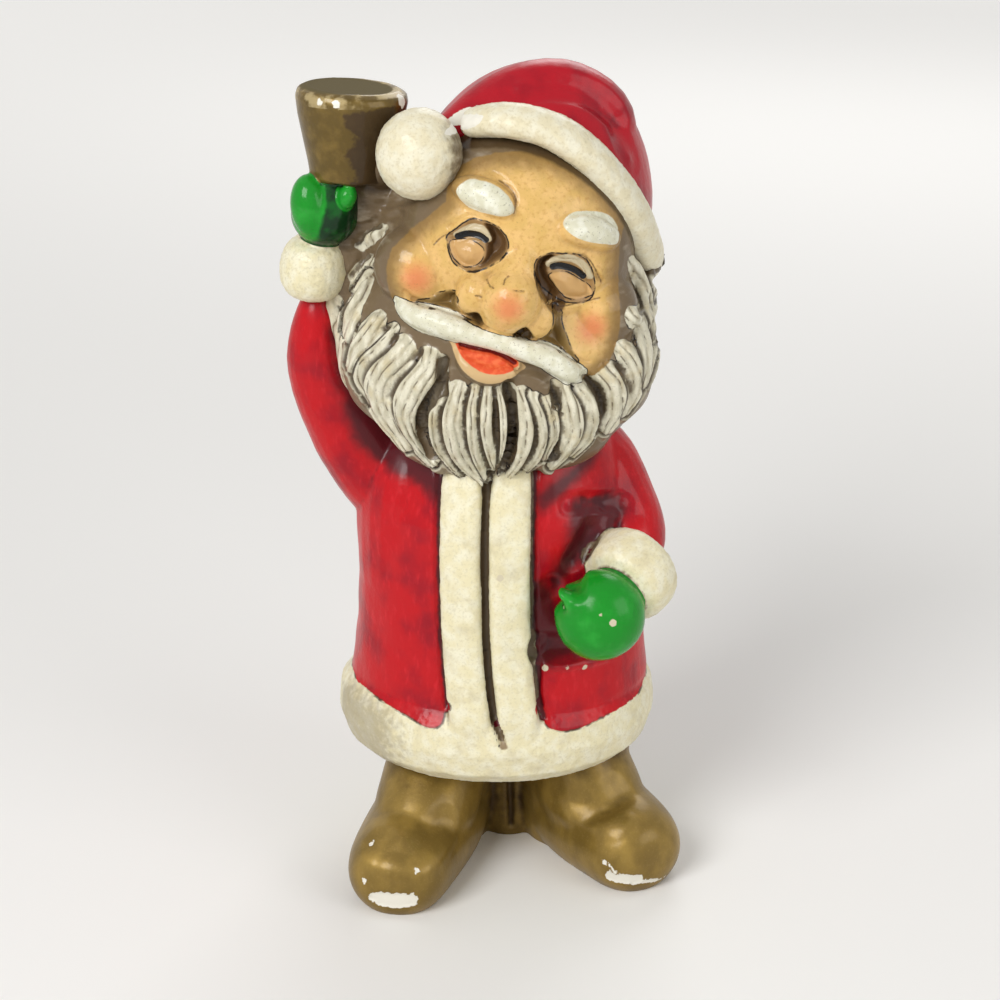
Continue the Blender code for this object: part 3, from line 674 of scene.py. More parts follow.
# Dark patches under the raised sleeve, the lowered sleeve and mitten, and beside the beard: brown glaze and
# painted shade where those parts overhang the coat.
DARK_PATCHES = (
    [
        (6.2, 76), (11.8, 74.5), (14.5, 66), (20, 61.5), (25, 60), (24, 56.8), (8.6, 56.6), (8.0, 50),
        (6.6, 50),
    ],
    [
        (15.4, 93), (19, 92.4), (23, 93.2), (27, 90.6), (27, 87), (23, 84), (18, 81), (13, 76),
        (11.5, 79), (14.5, 86),
    ],
    [
        (-37, 139), (-30, 137), (-26, 126), (-22, 112), (-16, 103), (-10, 99), (-8.6, 92), (-11, 89.5),
        (-14.4, 94.6), (-20, 97.5), (-26, 99.5), (-31.6, 105), (-34.6, 116), (-36.2, 128),
    ],
    [(8, 96), (14, 100), (22, 106), (26, 111), (24, 104.5), (17, 98), (10, 93)],
)
patch = deepest(inside(rows, rounded(outline)) for outline in DARK_PATCHES)
note(coat, "patch", np.where(facings(coat)[:, 1] < 0.2, patch, FAR))
SMALL_CHIPS = (
    ((12.6, -33.4, 75.2), 0.75),
    ((21.2, -39, 76), 0.4),
    ((23.8, -38.8, 74), 0.5),
    ((9.9, -25.1, 56.6), 0.4),
    ((14.6, -23.6, 56.2), 0.4),
    ((18.6, -22, 55.4), 0.4),
    ((0, -28.2, 79.5), 0.5),
)
note(coat, "chip", deepest(half + 0.35 - point_reach(rows, spot) for spot, half in SMALL_CHIPS))
note(coat, "groove", 1.2 - line_reach(rows, laid(coat_tree, GROOVE_LINE, 60)))
note(coat, "groove_ink", 0.3 - line_reach(rows, laid(coat_tree, [(x - 0.8, z) for x, z in GROOVE_LINE], 60)))
# Soot on the front of the hem, most of it at the viewer's left
low = np.clip((50 - rows[:, 2]) / 8, 0, 1)
leftward = np.clip((-14 - rows[:, 0]) / 14, 0.25, 1)
note(coat, "grime", low * leftward * np.clip(-rows[:, 1] / 8, 0, 1))

paint = Paint("coat_paint", RED, rough=0.34)
paint.brush(paint.patches(9.0, 3, 0.42, 0.72), RED_DEEP)
paint.brush(paint.patches(1.2, 5, 0.5, 0.8, 0.5, stretch=(1, 1, 0.35)), RED_BRIGHT)
# Maroon brushed into the dark patches: glaze and painted shade.
paint.brush(paint.times(paint.edge("patch", wobble=1.6, size=4.0, soft=1.8), 0.94), MAROON)
soak = paint.uneven("wash", 2.0, 4)
paint.brush(paint.span(soak, 0.25, 1.0, 0, 0.9), (0.06, 0.006, 0.010))
aged = paint.patches(6.0, 5, 0.50, 0.74, 0.5)
fur_wash = paint.span(soak, 0.35, 1.15, 0, 0.95)
soot = paint.span(paint.uneven("grime", 1.6, 5), 0.36, 1.0, 0, 0.62)
fur_colour = paint.layered(stippled(paint, CREAM, CREAM_PALE, 0.55, 0.26), (aged, (0.52, 0.45, 0.29)),
                           (fur_wash, FUR_GLAZE), (soot, (0.30, 0.25, 0.16)))
paint.brush(paint.edge("fur", wobble=0.28, size=1.4, soft=0.10), fur_colour, rough=0.46)
seam = paint.span(paint.off_line("fur", 1.4, amount=0.56), 0.42, 0.12)
paint.brush(paint.times(seam, paint.patches(4.0, 4, 0.42, 0.6, 0.85)), (0.045, 0.02, 0.012))
paint.brush(paint.edge("groove", wobble=0.3, size=1.5, soft=0.2, start=0.3), TAUPE, rough=0.5)
paint.brush(paint.edge("groove_ink", wobble=0.16, size=1.2, soft=0.1), (0.02, 0.014, 0.008))
green = paint.layered(GREEN, (paint.patches(5.0, 3, 0.45, 0.75), GREEN_BRIGHT),
                      (paint.span(soak, 0.3, 1.2, 0, 0.95), GREEN_DEEP))
paint.brush(paint.edge("mitten", wobble=0.15, size=1.4, soft=0.12), green, rough=0.22)
paint.brush(paint.edge("chip", wobble=0.2, size=0.6, soft=0.08), (0.62, 0.55, 0.40), rough=0.7)
bumps = [(paint.cloud(1.0, 5), 0.09), (paint.cloud(0.3, 3), 0.035)]
shown(coat, "coat", paint.finish(bumps, varnish=0.36, varnish_rough=0.2))


# Head
# The face is one smooth mask laid on the beard: cheeks, nose, brows, pouches and a thick moustache.
# Every lock of beard and hair is carved, and a brown glaze is left between the locks; the eyes, the folds
# beside the nose and the nostrils are painted dark, as glaze and painted shade.

FACE_MIDDLE = Vector((3.8, 148.7))
FACE_LEAN = 20                               # degrees that the head leans to the viewer's right
SKIN = (0.69, 0.44, 0.14)
SKIN_DEEP = (0.52, 0.27, 0.075)
SKIN_SHADE = (0.20, 0.115, 0.035)
BLUSH = (0.70, 0.17, 0.075)
HAIR = (0.60, 0.56, 0.42)
HAIR_PALE = (0.76, 0.72, 0.57)
HAIR_YELLOW = (0.60, 0.51, 0.31)
BROWN_GLAZE = (0.165, 0.115, 0.064)
INK = (0.018, 0.012, 0.008)


def on_face(points):
    """Points drawn on the face's own upright grid, carried to the tilted head."""
    lean = Matrix.Rotation(-math.radians(FACE_LEAN), 2)
    return [tuple(FACE_MIDDLE + lean @ Vector(point)) for point in points]


def offset(points, aside):
    """A line beside another one, drawn from the front."""
    beside = []
    for step in range(len(points)):
        a = Vector(points[max(step - 1, 0)])
        b = Vector(points[min(step + 1, len(points) - 1)])
        way = (b - a).normalized()
        beside.append((points[step][0] - way.y * aside, points[step][1] + way.x * aside))
    return beside


RING = [
    (-7, -15, 174.8), (2, -18.6, 176.1), (11, -19.6, 173.8), (18, -18.6, 168.8), (23.5, -16.5, 162.3),
    (28, -13, 154.8), (30.6, -7, 147.3), (31.5, 2, 140.8), (27.5, 14, 135.8), (16, 24.5, 132.8),
    (0, 28.6, 133.8), (-15, 25.2, 137.8), (-27, 16, 143.8), (-31, 3, 151.8), (-26, -6, 162.8),
    (-15, -13, 171.8),
]
ring_line = [tuple(along(RING, step / 150)) for step in range(151)]
ring_line.append(ring_line[0])
ring_rows = np.array(ring_line)


def above_ring(rows):
    """How far each row stands above the trim's middle line, taken straight up and down."""
    turn = np.arctan2(ring_rows[:, 1] - HEAD_AXIS[1], ring_rows[:, 0] - HEAD_AXIS[0])
    order = np.argsort(turn)
    around = np.arctan2(rows[:, 1] - HEAD_AXIS[1], rows[:, 0] - HEAD_AXIS[0])
    return rows[:, 2] - np.interp(around, turn[order], ring_rows[order, 2], period=2 * math.pi)


head_mass = bmesh.new()
egg(head_mass, (0.5, 3, 142), (33, 28, 32.5))
egg(head_mass, (-0.5, -8.5, 125), (33, 25, 27.5), 6)
for x, low_x in ((-1, -2), (-14, -8), (14, 8)):
    tip = (low_x, -22.5, 99.5 + abs(low_x + 2) * 0.3)
    roll(head_mass, [(x, -10, 122), ((x + low_x) / 2, -17, 110), tip], [17, 12.5, 6.5], 0.75)
mask = bmesh.new()
egg(mask, (3.2, -9.5, 149.5), (25.5, 22.5, 25), FACE_LEAN)
egg(mask, (-16.5, -18.5, 145.6), (9.6, 8.6, 9), FACE_LEAN)
egg(mask, (19.5, -18.5, 136.6), (9.2, 8.6, 9.4), FACE_LEAN)
web = bmesh.new()
egg(web, (-27, -4, 157), (9.5, 7, 12))
egg(web, (-25, -9, 168), (6.5, 5.5, 8))
egg(web, (-32, -5, 141), (7, 6, 13))
mass_tree = tree_of(head_mass, mask, web)

# The nose with its two wings, the brows, the moustache and the lower lip
NOSE = (
    ((0.4, -6), -32.4, 6.36),
    ((0.3, -8.4), -31.6, 5.3),
    ((-6.2, -7.8), -30.4, 4.3),
    ((6.8, -8.2), -30, 4.5),
)
for spot, y, radius in NOSE:
    (x, z), = on_face([spot])
    egg(mask, (x, y, z), (radius, radius * 1.1, radius * 1.05), FACE_LEAN)
ridge = zip(on_face([(0, 8), (0, 3), (0, -2), (0, -8)]), (-26.5, -28.8, -30.6, -32))
roll(mask, [(x, y, z) for (x, z), y in ridge], [3, 3.6, 5.1, 5.7], blunt=3)
for side in (-1, 1):
    brow = on_face([(side * 4.9, 10.2), (side * 11.2, 11), (side * 17.5, 10.2)])
    ribbon(mask, mass_tree, brow, [3.0, 3.3, 3.0], relief=3.0, lift=0.2, blunt=2.6)
MOUSTACHE = on_face([
    (-20.4, -16.4), (-17, -17.4), (-12, -16.8), (-6, -16.0), (0, -15.5), (6, -15.2), (12, -15.4),
    (17, -16.8), (20.4, -17),
])
hair_widths = [2.0, 2.6, 2.8, 2.5, 2.1, 2.2, 2.7, 2.7, 1.9]
ribbon(mask, mass_tree, MOUSTACHE, hair_widths, relief=3.2, lift=0.4, blunt=3)
LIP = on_face([(-6, -19.5), (-3.6, -22), (0.6, -22.6), (5, -20.9), (7, -19)])
ribbon(mask, mass_tree, LIP, [1.4, 2.0, 2.2, 2.0, 1.4], relief=2.2)

# Beard and hair: each lock from its root to its tip, with its half width
LOCKS = (
    ([(-27, 141.5), (-29, 138), (-31.5, 134), (-33, 130)], 2.0),
    ([(-24, 137), (-26.5, 133.5), (-29.5, 129.5), (-32, 124)], 2.3),
    ([(-21, 135.5), (-24.5, 131.5), (-28.5, 127), (-30, 122), (-28, 117)], 1.6),
    ([(-18, 133), (-21, 129.5), (-24.5, 125.5), (-26, 120.5), (-24.5, 114.5), (-20.5, 107.5)], 3.4),
    ([(-14, 132), (-15, 128), (-18, 123.5), (-20, 118), (-19.2, 112), (-14.5, 104.5)], 3.2),
    ([(-12, 123), (-13.7, 118), (-13.5, 112), (-11.5, 106), (-8, 101)], 1.4),
    ([(-8, 125.5), (-9.5, 121), (-10, 115.5), (-9.3, 110), (-7, 104), (-3.5, 98.5)], 2.5),
    ([(-5, 125), (-6, 119), (-5.6, 111), (-4.2, 104), (-2.2, 98.5)], 1.7),
    ([(-2.4, 125), (-3, 120.5), (-3, 114.5), (-2, 108.5), (-1, 103)], 1.8),
    ([(-0.3, 124.5), (0.6, 119), (0.6, 112), (-0.4, 104.5)], 1.3),
    ([(3.6, 124.5), (5, 120.5), (5.4, 114), (4, 107), (1.6, 100.5)], 2.1),
    ([(6.7, 123), (8.4, 118.5), (9.2, 114), (8.3, 108.5), (5.6, 102.5)], 1.7),
    ([(9.4, 122), (11, 117.5), (11.2, 112), (9.6, 106)], 1.5),
    ([(13, 125), (15, 120), (15.8, 114.5), (14.6, 109.5), (11, 103.5)], 2.5),
    ([(16, 124), (18.5, 120), (19.4, 115.5), (18.4, 110.5), (15.5, 106)], 1.7),
    ([(20.5, 127), (23.7, 122.5), (24.6, 117), (22.6, 111.5)], 3.0),
    ([(24, 131), (27.4, 126), (28.8, 120.5), (26.6, 114.5)], 2.4),
    ([(26, 138), (30, 133), (32, 127), (31, 120)], 2.2),
    ([(26.5, 147), (30, 140), (32.5, 134), (33, 128)], 2.0),
    ([(28.5, 154), (31.5, 148), (33.5, 141), (33.8, 135)], 1.8),
)
TUFTS = (
    ([(-23.6, 152.2), (-26.4, 150.4), (-29.2, 147)], 1.3),
    ([(-25.6, 145.4), (-28.2, 143), (-31.2, 138)], 1.7),
)
LOCK_RELIEF = 3.4
LOCK_FULL = 1.2                              # a lock's fullest half width, for each unit of its drawn one
LOCK_TAPER = (0.95, 1, 1, 0.85, 0.5)         # its width from root to tip, as shares of the fullest
LOCK_STEPS = 50                              # places along a lock from which its strands are measured
STRAND = 2.1                                 # about how wide one strand of a lock is
HEAD_AXIS = (1, 3)                           # x and y of the upright line through the head
locks = bmesh.new()
for points, half in LOCKS:
    tip = (1.6 * points[-1][0] - 0.6 * points[-2][0], 1.6 * points[-1][1] - 0.6 * points[-2][1])
    widths = [LOCK_FULL * half * share for share in LOCK_TAPER]
    ribbon(locks, mass_tree, points + [tip], widths, LOCK_RELIEF, lift=-0.9, blunt=3)
for points, half in TUFTS:
    ribbon(locks, mass_tree, points, [half * 0.6, half, half * 0.8], 1.9, lift=-0.4)
for strand in range(17):
    turn = math.radians(60 + 240 * strand / 16)
    path = []
    facing = []
    for step in range(6):
        sway = Matrix.Rotation(0.05 * math.sin(1.9 * step + strand), 3, "Z")
        heading = sway @ Vector((math.sin(turn), -math.cos(turn), 0))
        start = heading * 60 + Vector((0, 0, 137 - 5.4 * step))
        hit, normal, _, _ = mass_tree.ray_cast(start, -heading)
        path.append(hit)
        facing.append(normal)
    roll(locks, path, [2.8, 4.2, 4.4, 4.2, 3.8, 2.2], LOCK_RELIEF / 7, facing)

lock_tree = tree_of(locks)
mask_tree = tree_of(mask)
rest_tree = tree_of(head_mass, web)
web_tree = tree_of(web)

head = without_pockets(blended(joined(head_mass, mask, web, locks), grain=0.5, rounds=2))

# The face's own carving is finer, so its skin is divided once more
FACE_EDGE = on_face([
    (-18.4, 12.7), (-15.6, 15.9), (-11.6, 18.6), (-6.9, 20.7), (-1.8, 21.6), (3.5, 21.5), (7.7, 20.5),
    (12, 18.6), (15.6, 16.2), (18.2, 13.2), (18.4, 10), (20, 5), (21.4, 1), (23, -2.5), (24.5, -6.5),
    (25.2, -10.3), (24.8, -13.4), (22.8, -16.4), (20.4, -18.6), (17.5, -19.3), (14, -18.9),
    (10.3, -17.7), (6, -17.3), (0, -17.3), (-6, -18.3), (-11.3, -19.1), (-14.7, -19.8), (-17.8, -19.5),
    (-20.2, -18.2), (-21.8, -16.4), (-23.8, -13.3), (-24.9, -10), (-24.9, -6.6), (-23.2, -3.4),
    (-20.4, 2), (-18, 6.5), (-18.8, 9.7),
])
rows = places(head)
front = (rows[:, 1] < -12) & (inside(rows, FACE_EDGE) > -1.5)
lip_area = on_face([(-9, -17), (-7, -23), (0.5, -26), (8, -23), (9, -17)])
front |= (rows[:, 1] < -20) & (inside(rows, lip_area) > 0)
clay = bmesh.new()
clay.from_mesh(head)
clay.edges.ensure_lookup_table()
fine = [edge for edge in clay.edges if front[edge.verts[0].index] and front[edge.verts[1].index]]
bmesh.ops.subdivide_edges(clay, edges=fine, cuts=1, use_grid_fill=True, smooth=0.0)
bmesh.ops.triangulate(clay, faces=[face for face in clay.faces if len(face.verts) > 4])
clay.to_mesh(head)
clay.free()
head_tree = tree_of(head)


def sink(skin, outline, depth, soft=1.0):
    """Sink the area inside an outline, or raise it where the depth is below zero, with a soft edge."""
    rows = places(skin)
    near = np.nonzero(rows[:, 1] < -10)[0]
    share = np.clip(inside(rows[near], rounded(outline)) / soft, 0, 1)
    share = share * share * (3 - 2 * share)
    rows[near] -= facings(skin)[near] * (depth * share)[:, None]
    put(skin, rows)


SOCKETS = (
    on_face([
        (-12.4, 5.8), (-10.7, 6.3), (-8.6, 6.7), (-6.5, 6.4), (-4.4, 5.1), (-3.5, 3.4), (-3.7, 1.7),
        (-4.8, -0.2), (-6.3, -2.1), (-8.5, -3.8), (-10.5, -4.3), (-12.6, -3.8), (-14, -2.4), (-15, -0.8),
        (-15.6, 0.6), (-14.2, 3.3),
    ]),
    on_face([
        (2.6, 1.7), (2.6, 3.2), (3.6, 4.4), (5, 5.3), (7, 5.7), (9.6, 6.2), (12, 5.8), (14, 4.2),
        (15.8, 1.6), (16.6, -0.8), (16, -2.8), (13.6, -3.8), (10.6, -3.8), (8, -3.6), (5.6, -2.4),
        (3.6, -0.2),
    ]),
)
CRESCENTS = (
    on_face([
        (-9.6, 6), (-8.3, 6.4), (-6.4, 6.1), (-4.5, 4.8), (-3.9, 3.2), (-4.1, 1.6), (-5.2, -0.2),
        (-6.5, -1.9), (-7.7, -2.6), (-7.1, -0.6), (-7.4, 1.2), (-8, 2.4), (-7.6, 3.6), (-8.6, 4.9),
    ]),
    on_face([
        (3, 2.8), (3.8, 4.2), (5.4, 5), (6, 4.4), (5.2, 3.2), (5.4, 1.6), (6.4, 0.4), (7.8, -0.8),
        (9.4, -2.2), (11.2, -3.4), (11.8, -4.8), (11.2, -6.4), (9.2, -5.8), (6.6, -4), (4.4, -1.6),
        (3.2, 0.6),
    ]),
)
POUCHES = (
    on_face([
        (-14.7, -0.6), (-13.4, 0.7), (-11.2, 1.7), (-9, 1.6), (-7.6, 0.6), (-7.6, -1.6), (-8.8, -3.2),
        (-10.7, -3.8), (-13, -2.9),
    ]),
    on_face([
        (6.2, 0.4), (7.6, 1.7), (9.8, 2), (12.7, 1.2), (15.1, 0.4), (16.5, -1), (15.1, -2.6), (13, -3.2),
        (10.9, -3), (8.3, -1.4),
    ]),
)
LIDS = (
    on_face([(-13.8, 1.6), (-12.3, 3.5), (-10.7, 4.5), (-9.3, 4.6), (-7.8, 3.4)]),
    on_face([(5.4, 2.9), (6.6, 4.3), (8.3, 5), (10.3, 5), (12.5, 4.2), (14.4, 2.4)]),
)
SLITS = (
    on_face([(-13.5, 1.3), (-12.3, 2.4), (-11, 3), (-9.6, 3.2), (-8.2, 3)]),
    on_face([(6.4, 2.4), (7.6, 2.9), (9.4, 3), (11.4, 2.7), (13.1, 2)]),
)
FOLDS = (
    on_face([
        (-16.6, -15), (-14.4, -13.5), (-13, -11.8), (-10.9, -9.9), (-9.7, -9.8), (-9.4, -11.7),
        (-8.2, -13.2), (-10.8, -13.4), (-13, -14), (-14.9, -14.8),
    ]),
    on_face([
        (9.6, -5.4), (11.2, -6.2), (12.2, -8.4), (14.1, -10.6), (16.2, -13), (18, -14.6), (15.2, -13.8),
        (11.9, -12.6), (9.4, -12.4), (10.4, -9.9), (10.4, -7.6),
    ]),
)
NOSTRILS = (
    on_face([(-6.9, -12.6), (-5.9, -10.8), (-4.4, -10.8), (-3.1, -12.5), (-3.5, -13.4), (-5.4, -13.2)]),
    on_face([(3.4, -12.8), (4.2, -10), (6, -10.2), (7.6, -12), (5.7, -13.1)]),
)
LIP_SHAPE = on_face([
    (-7, -18.4), (-4.4, -18.2), (-0.8, -17), (2.1, -16.9), (5, -17.2), (6.8, -18.6), (5.2, -20),
    (2.8, -21.2), (0.2, -21.7), (-2.8, -21.3), (-5.2, -20.3),
])
LIP_LINE = on_face([(-5.6, -18.7), (-3, -18.4), (-0.4, -17.8), (2.6, -17.7), (5.8, -18.4)])
CHIN = on_face([
    (-8, -18), (-7.2, -19.8), (-5.4, -21.8), (-3, -23.2), (-0.4, -23.9), (2.4, -23.6), (5, -22),
    (7, -20.2), (8, -18.4), (0, -16.6),
])
CREASES = (
    on_face([(-17.4, -2.4), (-16.2, 0.2), (-14.3, 1.7)]),
    on_face([(-9.5, 14.5), (-6.8, 13.9), (-5.2, 12.4), (-4.8, 10.1)]),
    on_face([(10.8, 6.4), (13.6, 5.3), (17.3, 1.6)]),
    on_face([(10.8, -5.3), (13.7, -3.9), (16.3, -2.6), (18.1, -1.4)]),
)
CRACKS = (
    on_face([(-5.6, -3.6), (-4.9, -4), (-4.1, -3.9)]),
    on_face([(-1.9, -0.7), (-2.4, -1.4), (-2.5, -2.3)]),
    on_face([(-0.2, -2.5), (0.8, -2.4), (1.8, -2.1)]),
    on_face([(-6.6, -7.1), (-5.5, -6.9)]),
)
for outline in SOCKETS:
    sink(head, outline, 1.3, soft=0.9)
for outline in CRESCENTS:
    sink(head, outline, 1.9, soft=1.3)
for outline in POUCHES:
    sink(head, outline, -0.9, soft=2.4)
for outline in FOLDS:
    sink(head, outline, 1.9, soft=1.4)
for outline in NOSTRILS:
    sink(head, outline, 2.0, soft=1.4)
for line in LIDS:
    press(head, laid(head_tree, line, lift=-0.9), 1.4, -0.6)
for line in SLITS:
    press(head, laid(head_tree, line, lift=-0.9), 1.1, 0.5, sharp=1)
press(head, laid(head_tree, on_face([(-15.8, 2.6), (-13, 6.2), (-9.6, 6.6)])), 0.7, 0.3)
press(head, laid(head_tree, on_face([(8, 5.8), (11.6, 6), (14.6, 3.8), (17.6, 1.9)])), 0.7, 0.5)
above_brow = on_face([(-13.8, 14.6), (-10.1, 15.2), (-6.7, 14.2), (-4.2, 12.2)])
press(head, laid(head_tree, above_brow), 1.1, 0.16, fade=3)
press(head, laid(head_tree, offset(MOUSTACHE, 2.9), 50), 0.7, 0.35)
press(head, laid(head_tree, LIP_LINE), 0.9, 1.1)
for line in CRACKS:
    press(head, laid(head_tree, line, 8), 0.35, 0.25)
for line in CREASES:
    press(head, laid(head_tree, line), 0.8, 0.4, fade=1)

# Gaps between the locks, and wrinkles in the hair beside the face
GAPS = (
    ([(-11.6, 129.5), (-12.2, 124), (-15, 119), (-16.2, 113), (-14.6, 106)], 1.7, 1.6),
    ([(1.5, 125.5), (2.3, 120.5), (2.5, 114.5), (1.6, 107), (-1, 101.5), (-3, 97)], 1.7, 1.6),
    ([(4, 128.5), (8, 127.5), (11, 125), (11.7, 118), (12.3, 113), (11.4, 106)], 1.6, 1.3),
    ([(17, 126.5), (20.2, 122), (21.3, 117.5), (20.4, 112)], 1.5, 1.3),
)
for line, half_width, depth in GAPS:
    press(head, laid(head_tree, line, 40), half_width, depth)
WRINKLES = (
    [(-31, 160), (-27, 157), (-22, 157.4), (-17, 160.6), (-13.6, 163.6)],
    [(-33, 153), (-29, 152), (-24.4, 154), (-19.4, 156.6)],
    [(-34, 149), (-31, 147.6), (-27, 151.6), (-22.6, 153.6)],
    [(-35, 144), (-32, 141.5), (-29, 144.5), (-26, 148)],
)
for line in WRINKLES:
    press(head, laid(head_tree, line, 40), 1.2, 0.7, fade=2)


def lock_places(rows):
    """For each row: its place across its lock's strands, a strand's width, and how far the border is."""
    flat = rows[:, [0, 2]].astype(np.float64)
    first = np.full(len(rows), 9.0)
    second = first.copy()
    strand = np.zeros(len(rows))
    wide = np.full(len(rows), STRAND)
    width = np.ones(len(rows))
    for number, (points, half) in enumerate(LOCKS):
        line = np.array([tuple(point) for point in curve(points, LOCK_STEPS)])
        way = np.gradient(line, axis=0)
        side = np.stack([-way[:, 1], way[:, 0]], axis=1) / np.linalg.norm(way, axis=1)[:, None]
        taper = np.interp(np.linspace(0, 1.1, LOCK_STEPS), [0, 0.25, 0.5, 0.75, 1.1], LOCK_TAPER)
        widths = LOCK_FULL * half * taper
        low = line.min(axis=0) - 2 * half
        high = line.max(axis=0) + 2 * half
        near = np.nonzero(((flat > low) & (flat < high)).all(axis=1) & (rows[:, 1] < 0))[0]
        gap = flat[near][:, None, :] - line[None]
        step = (gap ** 2).sum(axis=2).argmin(axis=1)
        gap = gap[np.arange(len(near)), step]
        aside = (gap * side[step]).sum(axis=1) / widths[step]
        share = np.linalg.norm(gap, axis=1) / widths[step]
        share = np.where((step > 0) & (step < LOCK_STEPS - 1), np.abs(aside), share)
        count = max(2, round(2.4 * half / STRAND))
        closer = share < first[near]
        second[near] = np.where(closer, first[near], np.minimum(second[near], share))
        first[near] = np.where(closer, share, first[near])
        strand[near] = np.where(closer, (aside + 1) / 2 * count + 10 * number, strand[near])
        wide[near] = np.where(closer, 2 * widths[step] / count, wide[near])
        width[near] = np.where(closer, widths[step], width[near])
    between = np.minimum(1 - first, (second - first) / 2) * width
    behind = (first > 1.15) & (rows[:, 1] > -14)
    around = np.arctan2(rows[:, 0] - HEAD_AXIS[0], rows[:, 1] - HEAD_AXIS[1])
    strand = np.where(behind, around * 30 / STRAND + 0.5 * np.sin(rows[:, 2] / 5) + 300, strand)
    return strand + 0.25 * grain_of(rows, 5.0, 3), wide, np.where(behind, 9.0, between)


# Grooves along every lock, deeper at its borders
rows = places(head)
strand, wide, border = lock_places(rows)
lock = np.minimum(distance_to(rows, rest_tree), distance_to(rows, mask_tree)) - distance_to(rows, lock_tree)
from_line = np.abs(strand - np.round(strand)) * wide
on_lock = np.clip(lock / 0.5 + 1, 0, 1)
push = 0.3 * np.clip(1 - from_line / 0.6, 0, 1) + 0.8 * np.clip(1 - np.abs(border) / 0.8, 0, 1)
push *= np.clip(1 + border / 0.5, 0, 1)
rows -= facings(head) * (push * on_lock)[:, None]
put(head, rows)

# Above the trim the head's skin is drawn in, so that the hat covers it
rows = places(head)
covered = np.clip((above_ring(rows) - 1) / 2, 0, 1) * (distance_to(rows, web_tree) > 1.2)
rows = rows + (np.array(HEAD_AXIS + (146,)) - rows) * (0.14 * covered)[:, None]
put(head, rows)
rows = places(head)
crack = deepest(0.24 - line_reach(rows, laid(head_tree, line, 8)) for line in CRACKS)
lock_reach = distance_to(rows, lock_tree)
rest_reach = distance_to(rows, rest_tree)
mask_reach = distance_to(rows, mask_tree)
facing_front = np.where((rows[:, 1] < -9) & (facings(head)[:, 1] < 0.35), 0.0, FAR)
skin_inside = np.minimum(inside(rows, FACE_EDGE), 9) + facing_front


def noted(name, outlines, widen=0.0):
    """Keep how far each vertex lies inside the nearest of some outlines on the face."""
    best = deepest(inside(rows, rounded(outline)) for outline in outlines)
    note(head, name, best + widen + facing_front)


def lined(name, lines, half):
    """Keep how far each vertex lies inside a line of that half width on the face."""
    flat = rows[:, [0, 2]].astype(np.float64)
    best = deepest(half - line_reach(flat, curve(line, 30)) for line in lines)
    note(head, name, best + facing_front)


note(head, "skin", skin_inside)
lock = np.minimum(rest_reach, mask_reach) - lock_reach
behind = (rows[:, 1] > np.where(rows[:, 0] > 0, -10, -4)) & (distance_to(rows, web_tree) > 1.2)
note(head, "lock", np.where(behind, np.maximum(lock, 0.8), lock))
note(head, "border", border)
note(head, "strand", strand)
# How deep each vertex lies in the face's broad hollows, for brown glaze and painted shade there.
note(head, "broad", pooled(head, 90, 0.5, -1, 2))
note(head, "crack", crack)
noted("socket", SOCKETS)
noted("crescent", CRESCENTS)
noted("pouch", POUCHES)
noted("fold", FOLDS, widen=0.3)
noted("nostril", NOSTRILS)
noted("lips", [LIP_SHAPE])
noted("chin", [CHIN])
lined("lid", LIDS, 0.75)
lined("crease", CREASES, 0.14)
lined("slit", SLITS, 0.72)
lined("lip_line", [LIP_LINE], 0.55)
BROWS = (
    on_face([
        (-16.9, 9.8), (-16.6, 11.4), (-15.4, 12.9), (-13.4, 13.7), (-11, 14), (-8.8, 13.7), (-6.7, 12.8),
        (-5.2, 11.3), (-5.1, 10), (-6.8, 9), (-9.1, 8.4), (-11.3, 7.9), (-13.7, 7.8), (-15.7, 8.6),
    ]),
    on_face([
        (5.2, 11.4), (5.6, 12.9), (7, 14), (9.3, 14.6), (12.1, 14.9), (14.5, 14.4), (16.5, 13),
        (17.2, 11.8), (17.2, 10.3), (14.7, 10), (12, 9.8), (9, 9.9), (6.6, 10.5),
    ]),
)
noted("brow", BROWS)
WHISKERS = on_face([
    (-20.9, -16), (-17.2, -15.4), (-14.5, -14.9), (-11.7, -14.1), (-8.9, -13.7), (-4.8, -14),
    (-1.9, -13.9), (0.2, -13.7), (3, -13.4), (6.1, -13.2), (9, -12.9), (12, -13), (15.3, -14),
    (17.8, -14.9), (20.4, -16), (20.4, -18), (17.5, -19), (14.1, -18.6), (10.3, -17.3), (6.7, -17.1),
    (3.4, -17), (0, -17.1), (-3.4, -17.7), (-7.1, -18.3), (-11.3, -18.9), (-14.7, -19.5), (-17.8, -19.2),
    (-19.9, -18.1),
])
noted("whiskers", [WHISKERS], widen=0.4)
ROUGE = on_face([(-18.4, -10.2), (0, -6.2), (18.8, -7.6)])
flat = rows[:, [0, 2]].astype(np.float64)
rouge = deepest(1 - point_reach(flat, spot) / size for spot, size in zip(ROUGE, (5.2, 4.8, 5.0)))
note(head, "rouge", np.maximum(rouge, 0))
note(head, "trim_gap", 5.9 - line_reach(rows, ring_line))
note(head, "wash", pooled(head, 18, 0.3, -0.5, 1.6))

